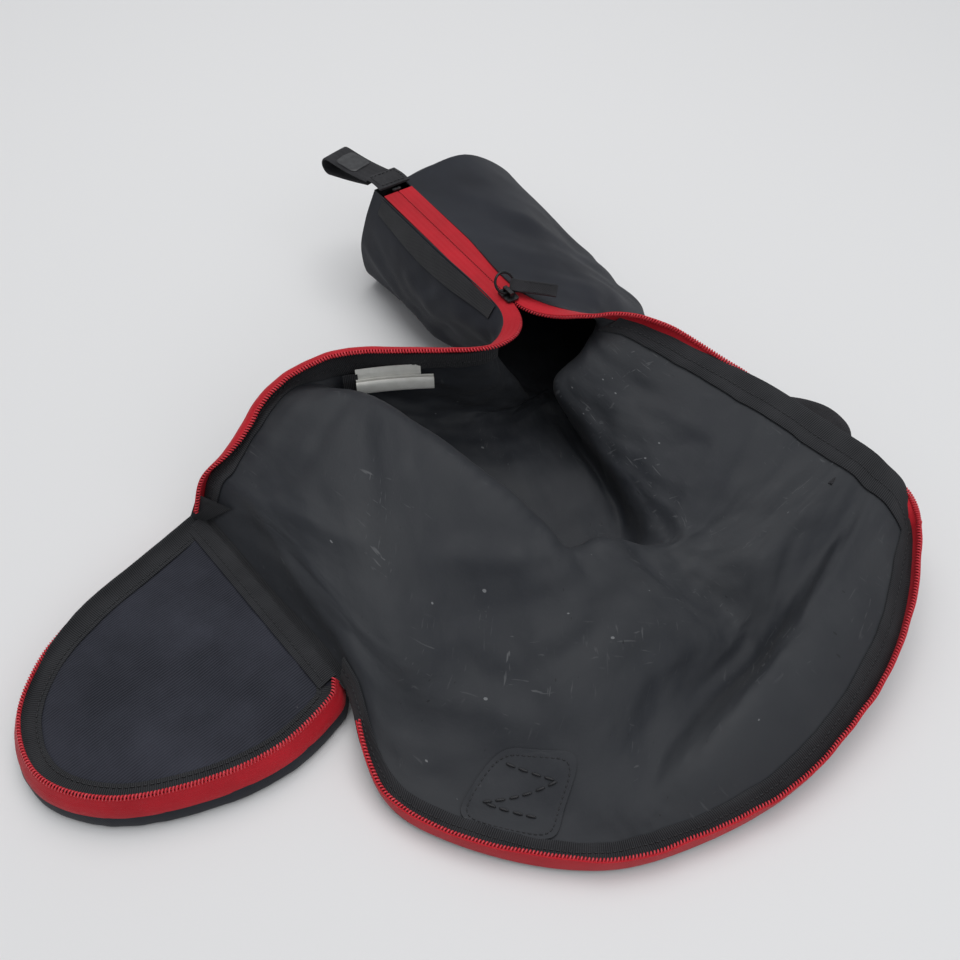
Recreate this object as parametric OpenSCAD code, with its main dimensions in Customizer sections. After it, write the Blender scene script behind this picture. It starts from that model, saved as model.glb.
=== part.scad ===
// Zipped bag for a light stand, lying open and empty on a flat surface.
// The wide end faces -Y with its lid hinged open to the left, and the closed narrow end points to +Y.

/* [Fabric] */
// Thickness of the coated fabric shell
panel_t = 2; // [1.4:0.2:2.4]
// Thickness of the ribbed binding
binding_t = 1.2; // [0.8:0.2:1.6]
// Thickness of the reinforcement patch
patch_t = 1.2; // [0.8:0.2:1.6]
// Thickness of webbing
webbing_t = 1.8; // [1.4:0.2:2.2]

/* [Zip] */
// Width of one zip tape beyond its seam
tape_w = 11; // [9:0.5:11]
// Thickness of the zip tape
tape_t = 1; // [0.8:0.1:1.2]
// Radius of the coil of teeth
coil_r = 1.4; // [1:0.1:1.5]
// Length of the stretch that is zipped shut
closed_len = 172; // [165:1:176]

/* [Slider] */
// Length of the slider
slider_len = 15; // [12:1:17]
// Width of the slider
slider_w = 10; // [9:0.5:12]
// Radius of the pull ring to the middle of its wire
ring_r = 7.6; // [7:0.1:8]
// Radius of the pull ring's wire
ring_wire_r = 1; // [0.8:0.1:1]
// Length of the webbing pull
pull_len = 32; // [25:1:36]
// Width of the webbing pull
pull_w = 9; // [7:0.5:9]

/* [Lid] */
// Height of the lid's upper rim above the ground
lid_h = 27; // [25:0.5:28]
// Height of the black gusset round the lid
gusset_h = 13; // [12:0.5:14]

/* [Loop] */
// Width of the carry loop's webbing
loop_w = 25; // [20:1:28]
// Length of the carry loop
loop_len = 58; // [50:1:64]
// Height of the gap inside the carry loop
loop_gap = 12; // [9:1:14]

/* [Hidden] */

black = "#1b1c20";
coated = "#3a3c42";
red = "#c2182c";
pale = "#e4e4e2";
steel = "#2b2c2f";

gap = 0.4;              // clearance left between neighbouring pieces
up = [0, 0, 1];
middle = [6, 4, 0];     // brings the footprint's centre over the origin

// The closed zip runs straight and level from the slider to the narrow end.
zip_z = 108;
zip_start = [16, 45, zip_z] + middle;
zip_turn = 33.5;        // direction of the closed zip, in degrees from +Y towards -X
zip_dir = [-sin(zip_turn), cos(zip_turn), 0];
zip_side = [cos(zip_turn), sin(zip_turn), 0];
zip_half = 13;          // half the width between the two sewn edges
function zip_point(a, r, z) = [zip_start.x, zip_start.y, 0] + a * zip_dir + r * zip_side + z * up;

// Smooth curve through hand-placed points; t runs from 0 to the last index. The slope at a point
// is held to a share of the shorter step beside it, so that uneven steps make no loops.
function size(v) = sqrt(v * v);
function slope(a, b, c) =
    let (m = (c - a) / 2, most = 1.3 * min(size(b - a), size(c - b)))
    size(m) > most ? m * (most / size(m)) : m;
function blend4(b, c, m0, m1, t) =
    b + t * (m0 + t * (3 * (c - b) - 2 * m0 - m1 + t * (2 * (b - c) + m0 + m1)));
function along(p, t) =
    let (n = len(p), i = max(0, min(floor(t), n - 2)))
    blend4(p[i], p[i + 1],
           i > 0 ? slope(p[i - 1], p[i], p[i + 1]) : p[1] - p[0],
           i < n - 2 ? slope(p[i], p[i + 1], p[i + 2]) : p[n - 1] - p[n - 2], t - i);
function unit(v) = v / norm(v);

// The shell is lofted through cross-sections, from the mouth to the narrow end. Each one lists
// ten points of the inner face, from the left edge of the zip, under the bag, to the right edge.
mouth   = [[-205, -82, 26], [-150, -147, 26], [-95, -212, 26], [-70, -280, 7], [-30, -308, 4],
           [38, -325, 4], [98, -318, 4], [182, -276, 8], [256, -195, 26], [285, -100, 46]];
lip     = [[-200, -70, 46], [-143, -129, 52], [-88, -203, 46], [-60, -248, 18], [-15, -280, 8],
           [45, -293, 7], [88, -290, 14], [148, -235, 32], [217, -162, 42], [277, -85, 52]];
front   = [[-190, -60, 55], [-125, -135, 62], [-72, -200, 50], [-30, -222, 30], [15, -235, 25],
           [65, -235, 28], [105, -225, 14], [160, -195, 5], [210, -138, 30], [266, -74, 56]];
hump    = [[-180, -42, 62], [-112, -115, 72], [-60, -162, 60], [-22, -178, 46], [18, -185, 42],
           [65, -182, 42], [118, -172, 24], [156, -168, 12], [190, -125, 36], [256, -64, 60]];
ridge   = [[-165, -20, 75], [-100, -30, 86], [-58, -55, 85], [-10, -90, 75], [30, -118, 60],
           [48, -132, 50], [75, -125, 46], [112, -125, 34], [162, -112, 38], [242, -54, 64]];
drop    = [[-140, 0, 84], [-108, -6, 60], [-62, -22, 26], [-12, -56, 12], [22, -88, 6],
           [50, -108, 4], [90, -106, 3], [118, -104, 34], [155, -90, 46], [222, -38, 68]];
cavity  = [[-105, 10, 90], [-88, 0, 55], [-52, -2, 22], [-12, -18, 9], [22, -32, 5],
           [58, -38, 3], [90, -58, 4], [96, -62, 38], [140, -55, 55], [194, -14, 73]];
back    = [[-55, 6, 95], [-46, 8, 60], [-26, 20, 26], [-2, 26, 10], [20, 24, 5],
           [46, 28, 3], [70, -2, 4], [70, -18, 42], [104, -12, 62], [152, 16, 80]];
throat  = [[-4, 4, 102], [-2, 12, 66], [8, 26, 32], [18, 38, 9], [31, 52, 4],
           [50, 60, 3], [62, 48, 6], [48, 24, 58], [72, 26, 80], [106, 38, 92]];
// Sections of the closed part, as distance to the right of the zip and height.
slider_section = [[-13, 108], [-24, 86], [-6, 46], [16, 10], [32, 3],
                  [60, 3], [102, 3], [138, 12], [86, 76], [13, 108]];
middle_section = [[-13, 108], [-28, 66], [-18, 32], [0, 7], [24, 3],
                  [64, 3], [110, 3], [156, 13], [92, 76], [13, 108]];
narrow_section = [[-13, 106], [-22, 76], [-26, 42], [-16, 10], [18, 3],
                  [62, 3], [112, 6], [155, 28], [96, 84], [13, 106]];
narrow_slant   = [182, 187, 192, 198, 208, 218, 226, 224, 212, 182];
stations = concat(
    [for (s = [mouth, lip, front, hump, ridge, drop, cavity, back, throat]) [for (p = s) p + middle]],
    [[for (p = slider_section) zip_point(0, p.x, p.y)],
     [for (p = middle_section) zip_point(90, p.x, p.y)],
     [for (i = [0 : 9]) zip_point(narrow_slant[i], narrow_section[i].x, narrow_section[i].y)]]);
slider_at = 9;                       // the station at which the two edges meet
last = len(stations) - 1;
rim = len(mouth) - 1;                // the right edge, counted across
left_seam = 4;                       // seam between left panel and base
right_seam = 6;                      // seam between base and right panel
hinge_end = 2;                       // the hinge takes the first two spans of the mouth
seam_gap = 0.006;                    // half the gap between two panels, in spans

ground = panel_t + 0.2;              // the inner face comes no lower than this
function shell_point(u, v) =
    let (p = along([for (s = stations) along(s, v)], u)) [p.x, p.y, max(ground, p.z)];
function shell_normal(u, v) =        // points out of the bag
    let (e = 0.05, u0 = max(0, u - e), u1 = min(last, u + e), v0 = max(0, v - e), v1 = min(rim, v + e))
    unit(cross(shell_point(u1, v) - shell_point(u0, v), shell_point(u, v1) - shell_point(u, v0)));
function shell_grid(us, vs, out) =
    [for (u = us) [for (v = vs) shell_point(u, v) + out * shell_normal(u, v)]];
function steps(a, b, n) = [for (i = [0 : n]) a + (b - a) * i / n];

// Closed solid between two grids of points, upper and lower, joined round their edges.
module slab(upper, lower) {
    rows = len(upper);
    cols = len(upper[0]);
    n = rows * cols;
    border = concat([for (j = [0 : cols - 2]) j],
                    [for (i = [0 : rows - 2]) i * cols + cols - 1],
                    [for (j = [cols - 1 : -1 : 1]) (rows - 1) * cols + j],
                    [for (i = [rows - 1 : -1 : 1]) i * cols]);
    m = len(border);
    cells = [for (i = [0 : rows - 2], j = [0 : cols - 2]) i * cols + j];
    polyhedron(
        points = concat([for (r = upper) each r], [for (r = lower) each r]),
        faces = concat(
            [for (c = cells) each [[c, c + cols + 1, c + 1], [c, c + cols, c + cols + 1]]],
            [for (c = cells) let (k = n + c)
                each [[k, k + 1, k + cols + 1], [k, k + cols + 1, k + cols]]],
            [for (k = [0 : m - 1]) let (a = border[k], b = border[(k + 1) % m])
                each [[a, b, n + b], [a, n + b, n + a]]]));
}

// Closed solid through a row of rings of points, capped at both ends.
module skin(rings) {
    m = len(rings[0]);
    k = len(rings);
    polyhedron(
        points = [for (r = rings) each r],
        faces = concat(
            [[for (j = [m - 1 : -1 : 0]) j]],
            [[for (j = [0 : m - 1]) (k - 1) * m + j]],
            [for (i = [0 : k - 2], j = [0 : m - 1])
                let (a = i * m + j, b = i * m + (j + 1) % m)
                each [[a, b, b + m], [a, b + m, a + m]]]));
}

module shell_piece(us, vs, t0, t1) slab(shell_grid(us, vs, t0), shell_grid(us, vs, t1));

/* ---- edges of the opening ---- */

// Points along each edge with the tilt of the zip tape there: 0 lies level towards the inside of
// the bag, 90 stands up, and more than 90 leans outwards.
left_tilt = [95, 84, 74, 72, 72, 74, 76, 74, 50, 0, 0, 0];
mouth_tilt = [98, 94, 90, 88, 92, 98, 108, 118];
right_tilt = [125, 118, 112, 108, 106, 104, 104, 104, 86, 0, 0, 0];
zip_end_at = slider_at + 2 * closed_len / 180;      // where the closed zip ends, as a station

left_us = steps(0.1, slider_at, 36);
right_us = steps(0.25, slider_at, 35);
mouth_vs = steps(hinge_end, rim, 28);
closed_us = steps(slider_at + 0.5, slider_at + 1.9, 3);

// Each entry is [point, tilt].
left_edge = concat([for (u = left_us) [shell_point(u, 0), along(left_tilt, u)]],
                   [for (u = closed_us) [closed_point(u, -zip_half), 0]]);
right_edge = concat([for (v = mouth_vs) [shell_point(0, v), along(mouth_tilt, v - hinge_end)]],
                    [for (u = right_us) [shell_point(u, rim), along(right_tilt, u)]],
                    [for (u = closed_us) [closed_point(u, zip_half), 0]]);
function closed_point(u, r) = zip_point((u - slider_at) * 90, r, zip_z);

edge_out = 1.6;                      // a tape that stands up is sewn to the outer face
// Frame of an edge at entry i: [point, tape direction, tape thickness direction].
function edge_frame(edge, i, inside) =
    let (n = len(edge),
         t = unit(edge[min(n - 1, i + 1)][0] - edge[max(0, i - 1)][0]),
         h = inside * unit(cross(t, up)),
         tilt = edge[i][1],
         d = cos(tilt) * h + sin(tilt) * unit(up - t * (t * up)))
    [edge[i][0] - edge_out * sin(tilt) * h, d, unit(cross(t, d)) * inside];

tape_from = 1.3;                     // clearance between a tape and the shell's edge
module edge_tape(edge, inside) {
    skin([for (i = [0 : len(edge) - 1])
        let (f = edge_frame(edge, i, inside), p = f[0], d = f[1], w = f[2] * tape_t / 2,
             ring = [p + tape_from * d + w, p + tape_from * d - w, p + tape_w * d - w, p + tape_w * d + w])
        inside > 0 ? [ring[3], ring[2], ring[1], ring[0]] : ring]);
}

module edge_coil(edge, inside) {
    sides = 6;
    skin([for (i = [0 : len(edge) - 1])
        let (f = edge_frame(edge, i, inside), c = f[0] + (tape_w - coil_r) * f[1] + f[2] * coil_lift)
        [for (k = [0 : sides - 1])
            let (q = k * 360 / sides)
            c + coil_r * (cos(q) * f[1] - inside * sin(q) * f[2])]]);
}
coil_lift = tape_t / 2 + coil_r + 0.2;

/* ---- body panels ---- */

panel_us = steps(0, last, 33);
module left_body_panel() {
    color(coated) shell_piece(panel_us, steps(0, left_seam - seam_gap, 12), 0, panel_t);
}
module base_panel() {
    color(coated) shell_piece(panel_us, steps(left_seam + seam_gap, right_seam - seam_gap, 6), 0, panel_t);
}
module right_body_panel() {
    color(coated) shell_piece(panel_us, steps(right_seam + seam_gap, rim, 9), 0, panel_t);
}

// The narrow end is a soft disc that closes the last section and bulges beyond it.
end_centre = zip_point(248, 68, 56);
end_bulge = 12;
function end_ring(edge, q, shift) =
    [for (p = edge) end_centre + (p - end_centre) * q + (shift + end_bulge * q * sqrt(1 - q)) * zip_dir];
module narrow_end_panel() {
    vs = steps(0, rim, 27);
    inner = [for (v = vs) shell_point(last, v)];
    outer = [for (v = vs) shell_point(last, v) + panel_t * shell_normal(last, v)];
    rings = [0.15, 0.4, 0.65, 0.85, 1];
    color(black) skin(concat(
        [for (q = rings) end_ring(inner, q, gap)],
        [for (k = [len(rings) - 1 : -1 : 0]) end_ring(outer, rings[k], gap + panel_t)]));
}

// Dark twill strip along the left side of the closed zip.
module zip_facing() {
    color(black) shell_piece(steps(slider_at + 0.1, slider_at + 1.8, 6), steps(0.06, 0.42, 2),
                             panel_t + gap, panel_t + gap + 1);
}

/* ---- bindings, sewn over the raw edges on the inside ---- */

binding_span = 0.34;                 // width of a binding, in spans of the shell
binding_gap = 0.5;
slit_us = steps(2 / 3, slider_at - 4 / 3, 21);       // on the same lines as the panels
module inner_binding(us, vs) shell_piece(us, vs, -binding_gap - binding_t, -binding_gap);
module mouth_binding() {
    color(black) inner_binding(steps(0.02, binding_span, 2), steps(hinge_end + 0.15, rim - 0.02, 28));
}
module slit_binding_left() {
    color(black) inner_binding(slit_us, steps(0.02, binding_span, 2));
}
module slit_binding_right() {
    color(black) inner_binding(slit_us, steps(rim - binding_span, rim - 0.02, 2));
}

/* ---- zip ---- */

module zip_tape_left() { color(red) edge_tape(left_edge, 1); }
module zip_tape_right() { color(red) edge_tape(right_edge, -1); }
module zip_coil_left() { color(red) edge_coil(left_edge, 1); }
module zip_coil_right() { color(red) edge_coil(right_edge, -1); }

// Places children in the zip's own frame: X across the zip, Y towards the narrow end.
module at_zip(a, r, z) translate(zip_point(a, r, z)) rotate([0, 0, zip_turn]) children();

tab_z = zip_z + 2.6;
module zip_end_tab() {
    color(black) at_zip(closed_len + 1, 0, tab_z) translate([-14, 0, 0]) cube([28, 24, webbing_t]);
}
module zip_end_stop() {
    color(steel) at_zip(closed_len - 3, 0, zip_z + tape_t / 2 + 0.1)
        translate([-3.5, 0, 0]) cube([7, 2.5, 1.2]);
}

/* ---- reinforcement inside the mouth, and the webbing sewn under it ---- */

patch_mid = [1, 4.45];               // station and place across
patch_half = [0.58, 0.46];
function patch_at(q, k, out) =       // rounded outline, shrunk to the share q
    let (c = cos(k), s = sin(k),
         u = patch_mid[0] + q * patch_half[0] * sign(c) * pow(abs(c), 0.4),
         v = patch_mid[1] + q * patch_half[1] * sign(s) * pow(abs(s), 0.4))
    shell_point(u, v) + out * shell_normal(u, v);
module reinforcement_patch() {
    angles = [for (k = [7.5 : 15 : 359]) k];
    rings = [0.3, 0.7, 1];
    color(coated) skin(concat(
        [for (q = rings) [for (k = angles) patch_at(q, k, -gap)]],
        [for (i = [2 : -1 : 0]) [for (k = angles) patch_at(rings[i], k, -gap - patch_t)]]));
}

// Three rows of stitches that zigzag over the patch.
stitch_rows = [[[1.36, 4.2], [1.28, 4.78]], [[1.28, 4.78], [0.78, 4.2]], [[0.78, 4.2], [0.72, 4.74]]];
stitch_r = 0.6;
module patch_stitching() {
    stitches = 5;
    color(black) for (row = stitch_rows, i = [0 : stitches - 1])
        let (a = row[0] + (row[1] - row[0]) * (i + 0.15) / stitches,
             b = row[0] + (row[1] - row[0]) * (i + 0.75) / stitches,
             out = -gap - patch_t - stitch_r - 0.4)
        stitch(shell_point(a[0], a[1]) + out * shell_normal(a[0], a[1]),
               shell_point(b[0], b[1]) + out * shell_normal(b[0], b[1]));
}
module stitch(a, b) {
    d = b - a;
    translate(a) rotate([0, acos(d.z / norm(d)), atan2(d.y, d.x)])
        cylinder(r = stitch_r, h = norm(d), $fn = 8);
}

module strap_anchor() {
    color(black) translate([5, -276, 0] + middle) rotate([0, 0, 20])
        translate([-19, -28, 0]) cube([38, 56, 1.6]);
}

/* ---- care labels on the left wall ---- */

label_at = [-99, -6, 74] + middle;
module at_label() translate(label_at) rotate([0, 0, 7]) children();
module care_label_tab() {
    color(black) at_label() translate([-6, 0, -5]) cube([5.6, 2, 14]);
}
module care_label_flat() {
    color(pale) at_label() translate([0, 1, 3]) rotate([-12, 0, 0]) cube([47, 0.8, 9]);
}
module care_label_folded() {
    color(pale) at_label() translate([0, -1.4, -6]) difference() {
        cube([56, 1.8, 12]);
        translate([2, 0.6, -1]) cube([55, 0.6, 12]);
    }
}

/* ---- handle behind the right edge ---- */

handle_u = [3.5, 6.1];
handle_reach = 50;                   // how far the handle stands out past its sewn ends
function handle_mid(q) =
    let (u = handle_u[0] + q * (handle_u[1] - handle_u[0]), v = rim - 0.3,
         bow = pow(sin(180 * q), 0.7),
         e = unit(shell_point(u, rim) - shell_point(u, v)))
    [shell_point(u, v) + (panel_t + 3.2 + 12 * bow) * shell_normal(u, v) + handle_reach * bow * e,
     unit(shell_normal(u, v)), e];
module grab_handle() {
    color(black) skin([for (q = steps(0, 1, 14))
        let (f = handle_mid(q), p = f[0], n = f[1] * webbing_t / 2, e = f[2] * 9)
        [p + e - n, p - e - n, p - e + n, p + e + n]]);
}
module handle_tabs() {
    color(black) for (u = handle_u)
        shell_piece(steps(u - 0.15, u + 0.15, 1), steps(rim - 0.5, rim - 0.1, 1),
                    panel_t + 0.3, panel_t + 1.7);
}

/* ---- lid ---- */

// The lid's own frame: s along the hinge from its far end, t away from the hinge.
hinge_z = 26;
hinge_from = [-207, -83.5, hinge_z] + middle;
hinge_turn = -49.8;                  // direction of the hinge, in degrees from +X
hinge_dir = [cos(hinge_turn), sin(hinge_turn), 0];
lid_dir = [sin(hinge_turn), -cos(hinge_turn), 0];
function lid_point(s, t, z) = [hinge_from.x, hinge_from.y, 0] + s * hinge_dir + t * lid_dir + z * up;
hinge_gap = 1.5;                     // nearest that the lid comes to the hinge line
lid_outline = [[-1, 4], [9, 50], [19, 97], [37, 139], [69, 169], [112, 175], [151, 149], [177, 101],
               [187, 55], [180, 14], [170, 4]];
lid_centre = [92, 84];
lid_path = [for (k = steps(0, len(lid_outline) - 1, 36)) along(lid_outline, k)];
lid_ring = concat(lid_path, [for (k = [1 : 7]) lid_path[36] + (lid_path[0] - lid_path[36]) * k / 8]);
function lid_inset(points, d, z) =
    [for (p = points) let (w = p - lid_centre, q = lid_centre + w * (1 - d / norm(w)))
        lid_point(q.x, max(hinge_gap, q.y), z)];
function lid_scaled(q, z) =
    [for (p = lid_ring) let (w = lid_centre + (p - lid_centre) * q) lid_point(w.x, w.y, z)];

pan_depth = 9;                       // how far the lining lies below the rim
lining_z = lid_h - pan_depth;
wall_out = 5;                        // how far the side stands out beyond the rim
wall_t = 1.4;
module lid_outer_panel() {
    color(black) skin([lid_scaled(0.4, wall_t), lid_inset(lid_ring, -wall_out, wall_t),
                       lid_inset(lid_ring, -wall_out, 0), lid_scaled(0.4, 0)]);
}
module lid_pad() {
    color(coated) skin([lid_scaled(0.3, lining_z + 1.6), lid_scaled(0.7, lining_z + 1),
                        lid_inset(lid_ring, 5, lining_z - 1.2), lid_inset(lid_ring, 0, 6),
                        lid_inset(lid_ring, 0, 1.8), lid_scaled(0.3, 1.8)]);
}
module lid_lining() {
    color(coated) skin([lid_scaled(0.3, lining_z + 3.2), lid_scaled(0.7, lining_z + 2.6),
                        lid_inset(lid_ring, 3.5, lining_z + 0.4), lid_inset(lid_ring, 3.5, lining_z - 0.6),
                        lid_scaled(0.7, lining_z + 1.6), lid_scaled(0.3, lining_z + 2.2)]);
}

// A band of wall round the zipped part of the lid, from inset d0 at height z0 to inset d1 at z1.
module lid_band(d0, z0, d1, z1, t) {
    ring = [lid_inset(lid_path, d0, z0), lid_inset(lid_path, d1, z1),
            lid_inset(lid_path, d1 + t, z1), lid_inset(lid_path, d0 + t, z0)];
    skin([for (i = [0 : len(lid_path) - 1]) [for (k = [0 : 3]) ring[k][i]]]);
}
module lid_gusset() { color(black) lid_band(-wall_out, wall_t + gap, -wall_out, gusset_h, wall_t); }
module zip_tape_lid() { color(red) lid_band(-wall_out, gusset_h + gap, 0, lid_h - 1, tape_t); }
module lid_rim_binding() { color(black) lid_band(1.8, lining_z + 1, 1.8, lid_h - 2.5, binding_t); }
module hinge_binding() {
    rise = 5.5;
    color(black) skin([for (s = steps(8, 162, 8))
        [lid_point(s, 15, lining_z + rise - 2.5), lid_point(s, 15, lining_z + rise - 1.5),
         lid_point(s, hinge_gap, lining_z + rise), lid_point(s, hinge_gap, lining_z + rise - 1)]]);
}
module zip_coil_lid() {
    rings = [for (k = [0 : 60 : 300])
        lid_inset(lid_path, 1 + coil_r * cos(k), lid_h + 0.8 + coil_r * sin(k))];
    color(red) skin([for (i = [0 : len(lid_path) - 1]) [for (k = [5 : -1 : 0]) rings[k][i]]]);
}

/* ---- slider, ring and pull ---- */

slider_y = 9.5;                      // middle of the slider, along the zip
plate_t = 1.6;
plate_z = zip_z + tape_t / 2 + 0.7;
base_z = zip_z - coil_lift - coil_r - 0.5;
wire_z = plate_z + plate_t + ring_wire_r + 0.4;
module slider_plate(z) {
    at_zip(slider_y, 0, z) intersection() {
        translate([-slider_w / 2, -slider_len / 2, 0]) cube([slider_w, slider_len, plate_t]);
        cylinder(r = slider_len * 0.54, h = plate_t, $fn = 48);
    }
}
module slider_body() {
    bar_z = wire_z + ring_wire_r + 0.5;
    color(steel) union() {
        slider_plate(plate_z);
        slider_plate(base_z - plate_t);
        at_zip(slider_y, 0, base_z - 0.1) translate([-1.2, -slider_len / 2 + 1, 0])
            cube([2.4, 4.5, plate_z - base_z + 0.2]);
        for (y = [-5, 3.6]) at_zip(slider_y, 0, plate_z + plate_t - 0.1) translate([-1.5, y, 0])
            cube([3, 1.4, bar_z - plate_z - plate_t + 0.2]);
        at_zip(slider_y, 0, bar_z) translate([-1.5, -5, 0]) cube([3, 10, 1.4]);
    }
}

ring_lean = 48;                      // the ring leans back over the zip, in degrees above level
ring_dir = cos(ring_lean) * zip_dir + sin(ring_lean) * up;
ring_normal = cos(ring_lean) * up - sin(ring_lean) * zip_dir;
ring_at = zip_point(slider_y, 0, wire_z) + ring_r * ring_dir;
module pull_ring() {
    color(steel) translate(ring_at) rotate([0, 0, zip_turn]) rotate([ring_lean, 0, 0])
        rotate_extrude($fn = 64) translate([ring_r, 0]) circle(r = ring_wire_r, $fn = 24);
}

pull_around = -35;                   // where the pull holds the ring, in degrees round it
pull_lift = 41;                      // lift of the pull out of the ring's plane
sleeve_r = 1.9;
module pull_strap() {
    color(black) translate(ring_at) rotate([0, 0, zip_turn]) rotate([ring_lean, 0, 0])
    rotate([0, 0, pull_around]) translate([ring_r, 0, 0]) rotate([0, -pull_lift, 0]) difference() {
        union() {
            rotate([90, 0, 0]) cylinder(r = sleeve_r + 1.2, h = 5, center = true, $fn = 32);
            translate([2.4, -pull_w / 2, -1.4]) cube([pull_len - 2.4, pull_w, 2.8]);
        }
        rotate([90, 0, 0]) cylinder(r = sleeve_r, h = 12, center = true, $fn = 32);
    }
}

/* ---- carry loop ---- */

loop_from = zip_point(closed_len + 28, -1, zip_z - 4);
loop_yaw = 14;
loop_drop = 7;
loop_out_r = loop_gap / 2 + webbing_t;
module at_loop()
    translate(loop_from) rotate([0, loop_drop, zip_turn + 90 + loop_yaw]) rotate([90, 0, 0]) children();
// A drop's solid of width w: a round end of radius r, drawn in to the half-height h at x.
module drop(r, x, h, w) {
    mid = loop_len - loop_out_r;
    inside = mid + 0.5;              // the flat part ends a little inside the round one
    shoulder = 0.97 * r;
    translate([mid, 0, -w / 2]) cylinder(r = r, h = w, $fn = 48);
    translate([0, 0, -w / 2]) linear_extrude(height = w)
        polygon([[x, -h], [x, h], [inside, shoulder], [inside, -shoulder]]);
}
module carry_loop() {
    color(black) at_loop() difference() {
        drop(loop_out_r, 0, webbing_t + 0.3, loop_w);
        drop(loop_gap / 2, 4, 0.3, loop_w + 2);
    }
}
module loop_patch() {
    color(steel) at_loop() translate([18, loop_out_r + 0.1, -10]) cube([24, 0.9, 20]);
}

left_body_panel();
base_panel();
right_body_panel();
narrow_end_panel();
zip_facing();
mouth_binding();
slit_binding_left();
slit_binding_right();
hinge_binding();
zip_tape_left();
zip_tape_right();
zip_coil_left();
zip_coil_right();
zip_end_tab();
zip_end_stop();
reinforcement_patch();
patch_stitching();
strap_anchor();
care_label_tab();
care_label_flat();
care_label_folded();
grab_handle();
handle_tabs();
lid_outer_panel();
lid_pad();
lid_lining();
lid_gusset();
lid_rim_binding();
zip_tape_lid();
zip_coil_lid();
slider_body();
pull_ring();
pull_strap();
carry_loop();
loop_patch();
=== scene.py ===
"""The looks of a zipped stand bag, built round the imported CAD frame. Shapes are worked out in millimetres."""

import math

import bmesh
import bpy
import numpy as np
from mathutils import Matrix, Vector


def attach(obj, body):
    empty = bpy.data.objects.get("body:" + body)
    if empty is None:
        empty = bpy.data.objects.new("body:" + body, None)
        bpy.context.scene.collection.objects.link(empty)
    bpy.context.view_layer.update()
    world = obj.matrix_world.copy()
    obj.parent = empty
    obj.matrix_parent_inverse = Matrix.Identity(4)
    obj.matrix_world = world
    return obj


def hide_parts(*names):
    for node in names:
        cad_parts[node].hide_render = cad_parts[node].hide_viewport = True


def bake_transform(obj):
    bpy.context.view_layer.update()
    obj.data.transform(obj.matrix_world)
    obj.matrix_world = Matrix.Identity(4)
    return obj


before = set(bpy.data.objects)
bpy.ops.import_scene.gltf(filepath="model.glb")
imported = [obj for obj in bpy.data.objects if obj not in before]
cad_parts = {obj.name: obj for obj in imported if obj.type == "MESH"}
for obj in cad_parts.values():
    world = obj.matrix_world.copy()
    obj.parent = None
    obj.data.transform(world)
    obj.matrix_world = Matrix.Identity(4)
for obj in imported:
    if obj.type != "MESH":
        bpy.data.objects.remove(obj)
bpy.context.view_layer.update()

MM = 0.001
UP = np.array([0.0, 0.0, 1.0])

# ---------------------------------------------------------------- the shape, as in the CAD source

MIDDLE = np.array([6.0, 4.0, 0.0])
ZIP_Z = 108.0
ZIP_START = np.array([16.0, 45.0, 0.0]) + MIDDLE
ZIP_TURN = math.radians(33.5)
ZIP_DIR = np.array([-math.sin(ZIP_TURN), math.cos(ZIP_TURN), 0.0])
ZIP_SIDE = np.array([math.cos(ZIP_TURN), math.sin(ZIP_TURN), 0.0])
ZIP_HALF = 13.0
CLOSED_LEN = 172.0
PANEL_T = 1.1

SECTIONS = [
    [[-205, -82, 26], [-150, -147, 26], [-95, -212, 26], [-70, -280, 7], [-30, -308, 4],
     [38, -325, 4], [98, -318, 4], [182, -276, 8], [256, -195, 26], [285, -100, 46]],
    [[-200, -70, 46], [-143, -129, 52], [-88, -203, 46], [-60, -248, 18], [-15, -280, 8],
     [45, -293, 7], [88, -290, 14], [148, -235, 32], [217, -162, 42], [277, -85, 52]],
    [[-190, -60, 55], [-125, -135, 62], [-72, -200, 50], [-30, -222, 30], [15, -235, 25],
     [65, -235, 28], [105, -225, 14], [160, -195, 5], [210, -138, 30], [266, -74, 56]],
    [[-180, -42, 62], [-112, -115, 72], [-60, -162, 60], [-22, -178, 46], [18, -185, 42],
     [65, -182, 42], [118, -172, 24], [156, -168, 12], [190, -125, 36], [256, -64, 60]],
    [[-165, -20, 75], [-100, -30, 86], [-58, -55, 85], [-10, -90, 75], [30, -118, 60],
     [48, -132, 50], [75, -125, 46], [112, -125, 34], [162, -112, 38], [242, -54, 64]],
    [[-140, 0, 84], [-108, -6, 60], [-62, -22, 26], [-12, -56, 12], [22, -88, 6],
     [50, -108, 4], [90, -106, 3], [118, -104, 34], [155, -90, 46], [222, -38, 68]],
    [[-105, 10, 90], [-88, 0, 55], [-52, -2, 22], [-12, -18, 9], [22, -32, 5],
     [58, -38, 3], [90, -58, 4], [96, -62, 38], [140, -55, 55], [194, -14, 73]],
    [[-55, 6, 95], [-46, 8, 60], [-26, 20, 26], [-2, 26, 10], [20, 24, 5],
     [46, 28, 3], [70, -2, 4], [70, -18, 42], [104, -12, 62], [152, 16, 80]],
    [[-4, 4, 102], [-2, 12, 66], [8, 26, 32], [18, 38, 9], [31, 52, 4],
     [50, 60, 3], [62, 48, 6], [48, 24, 58], [72, 26, 80], [106, 38, 92]],
]
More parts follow.
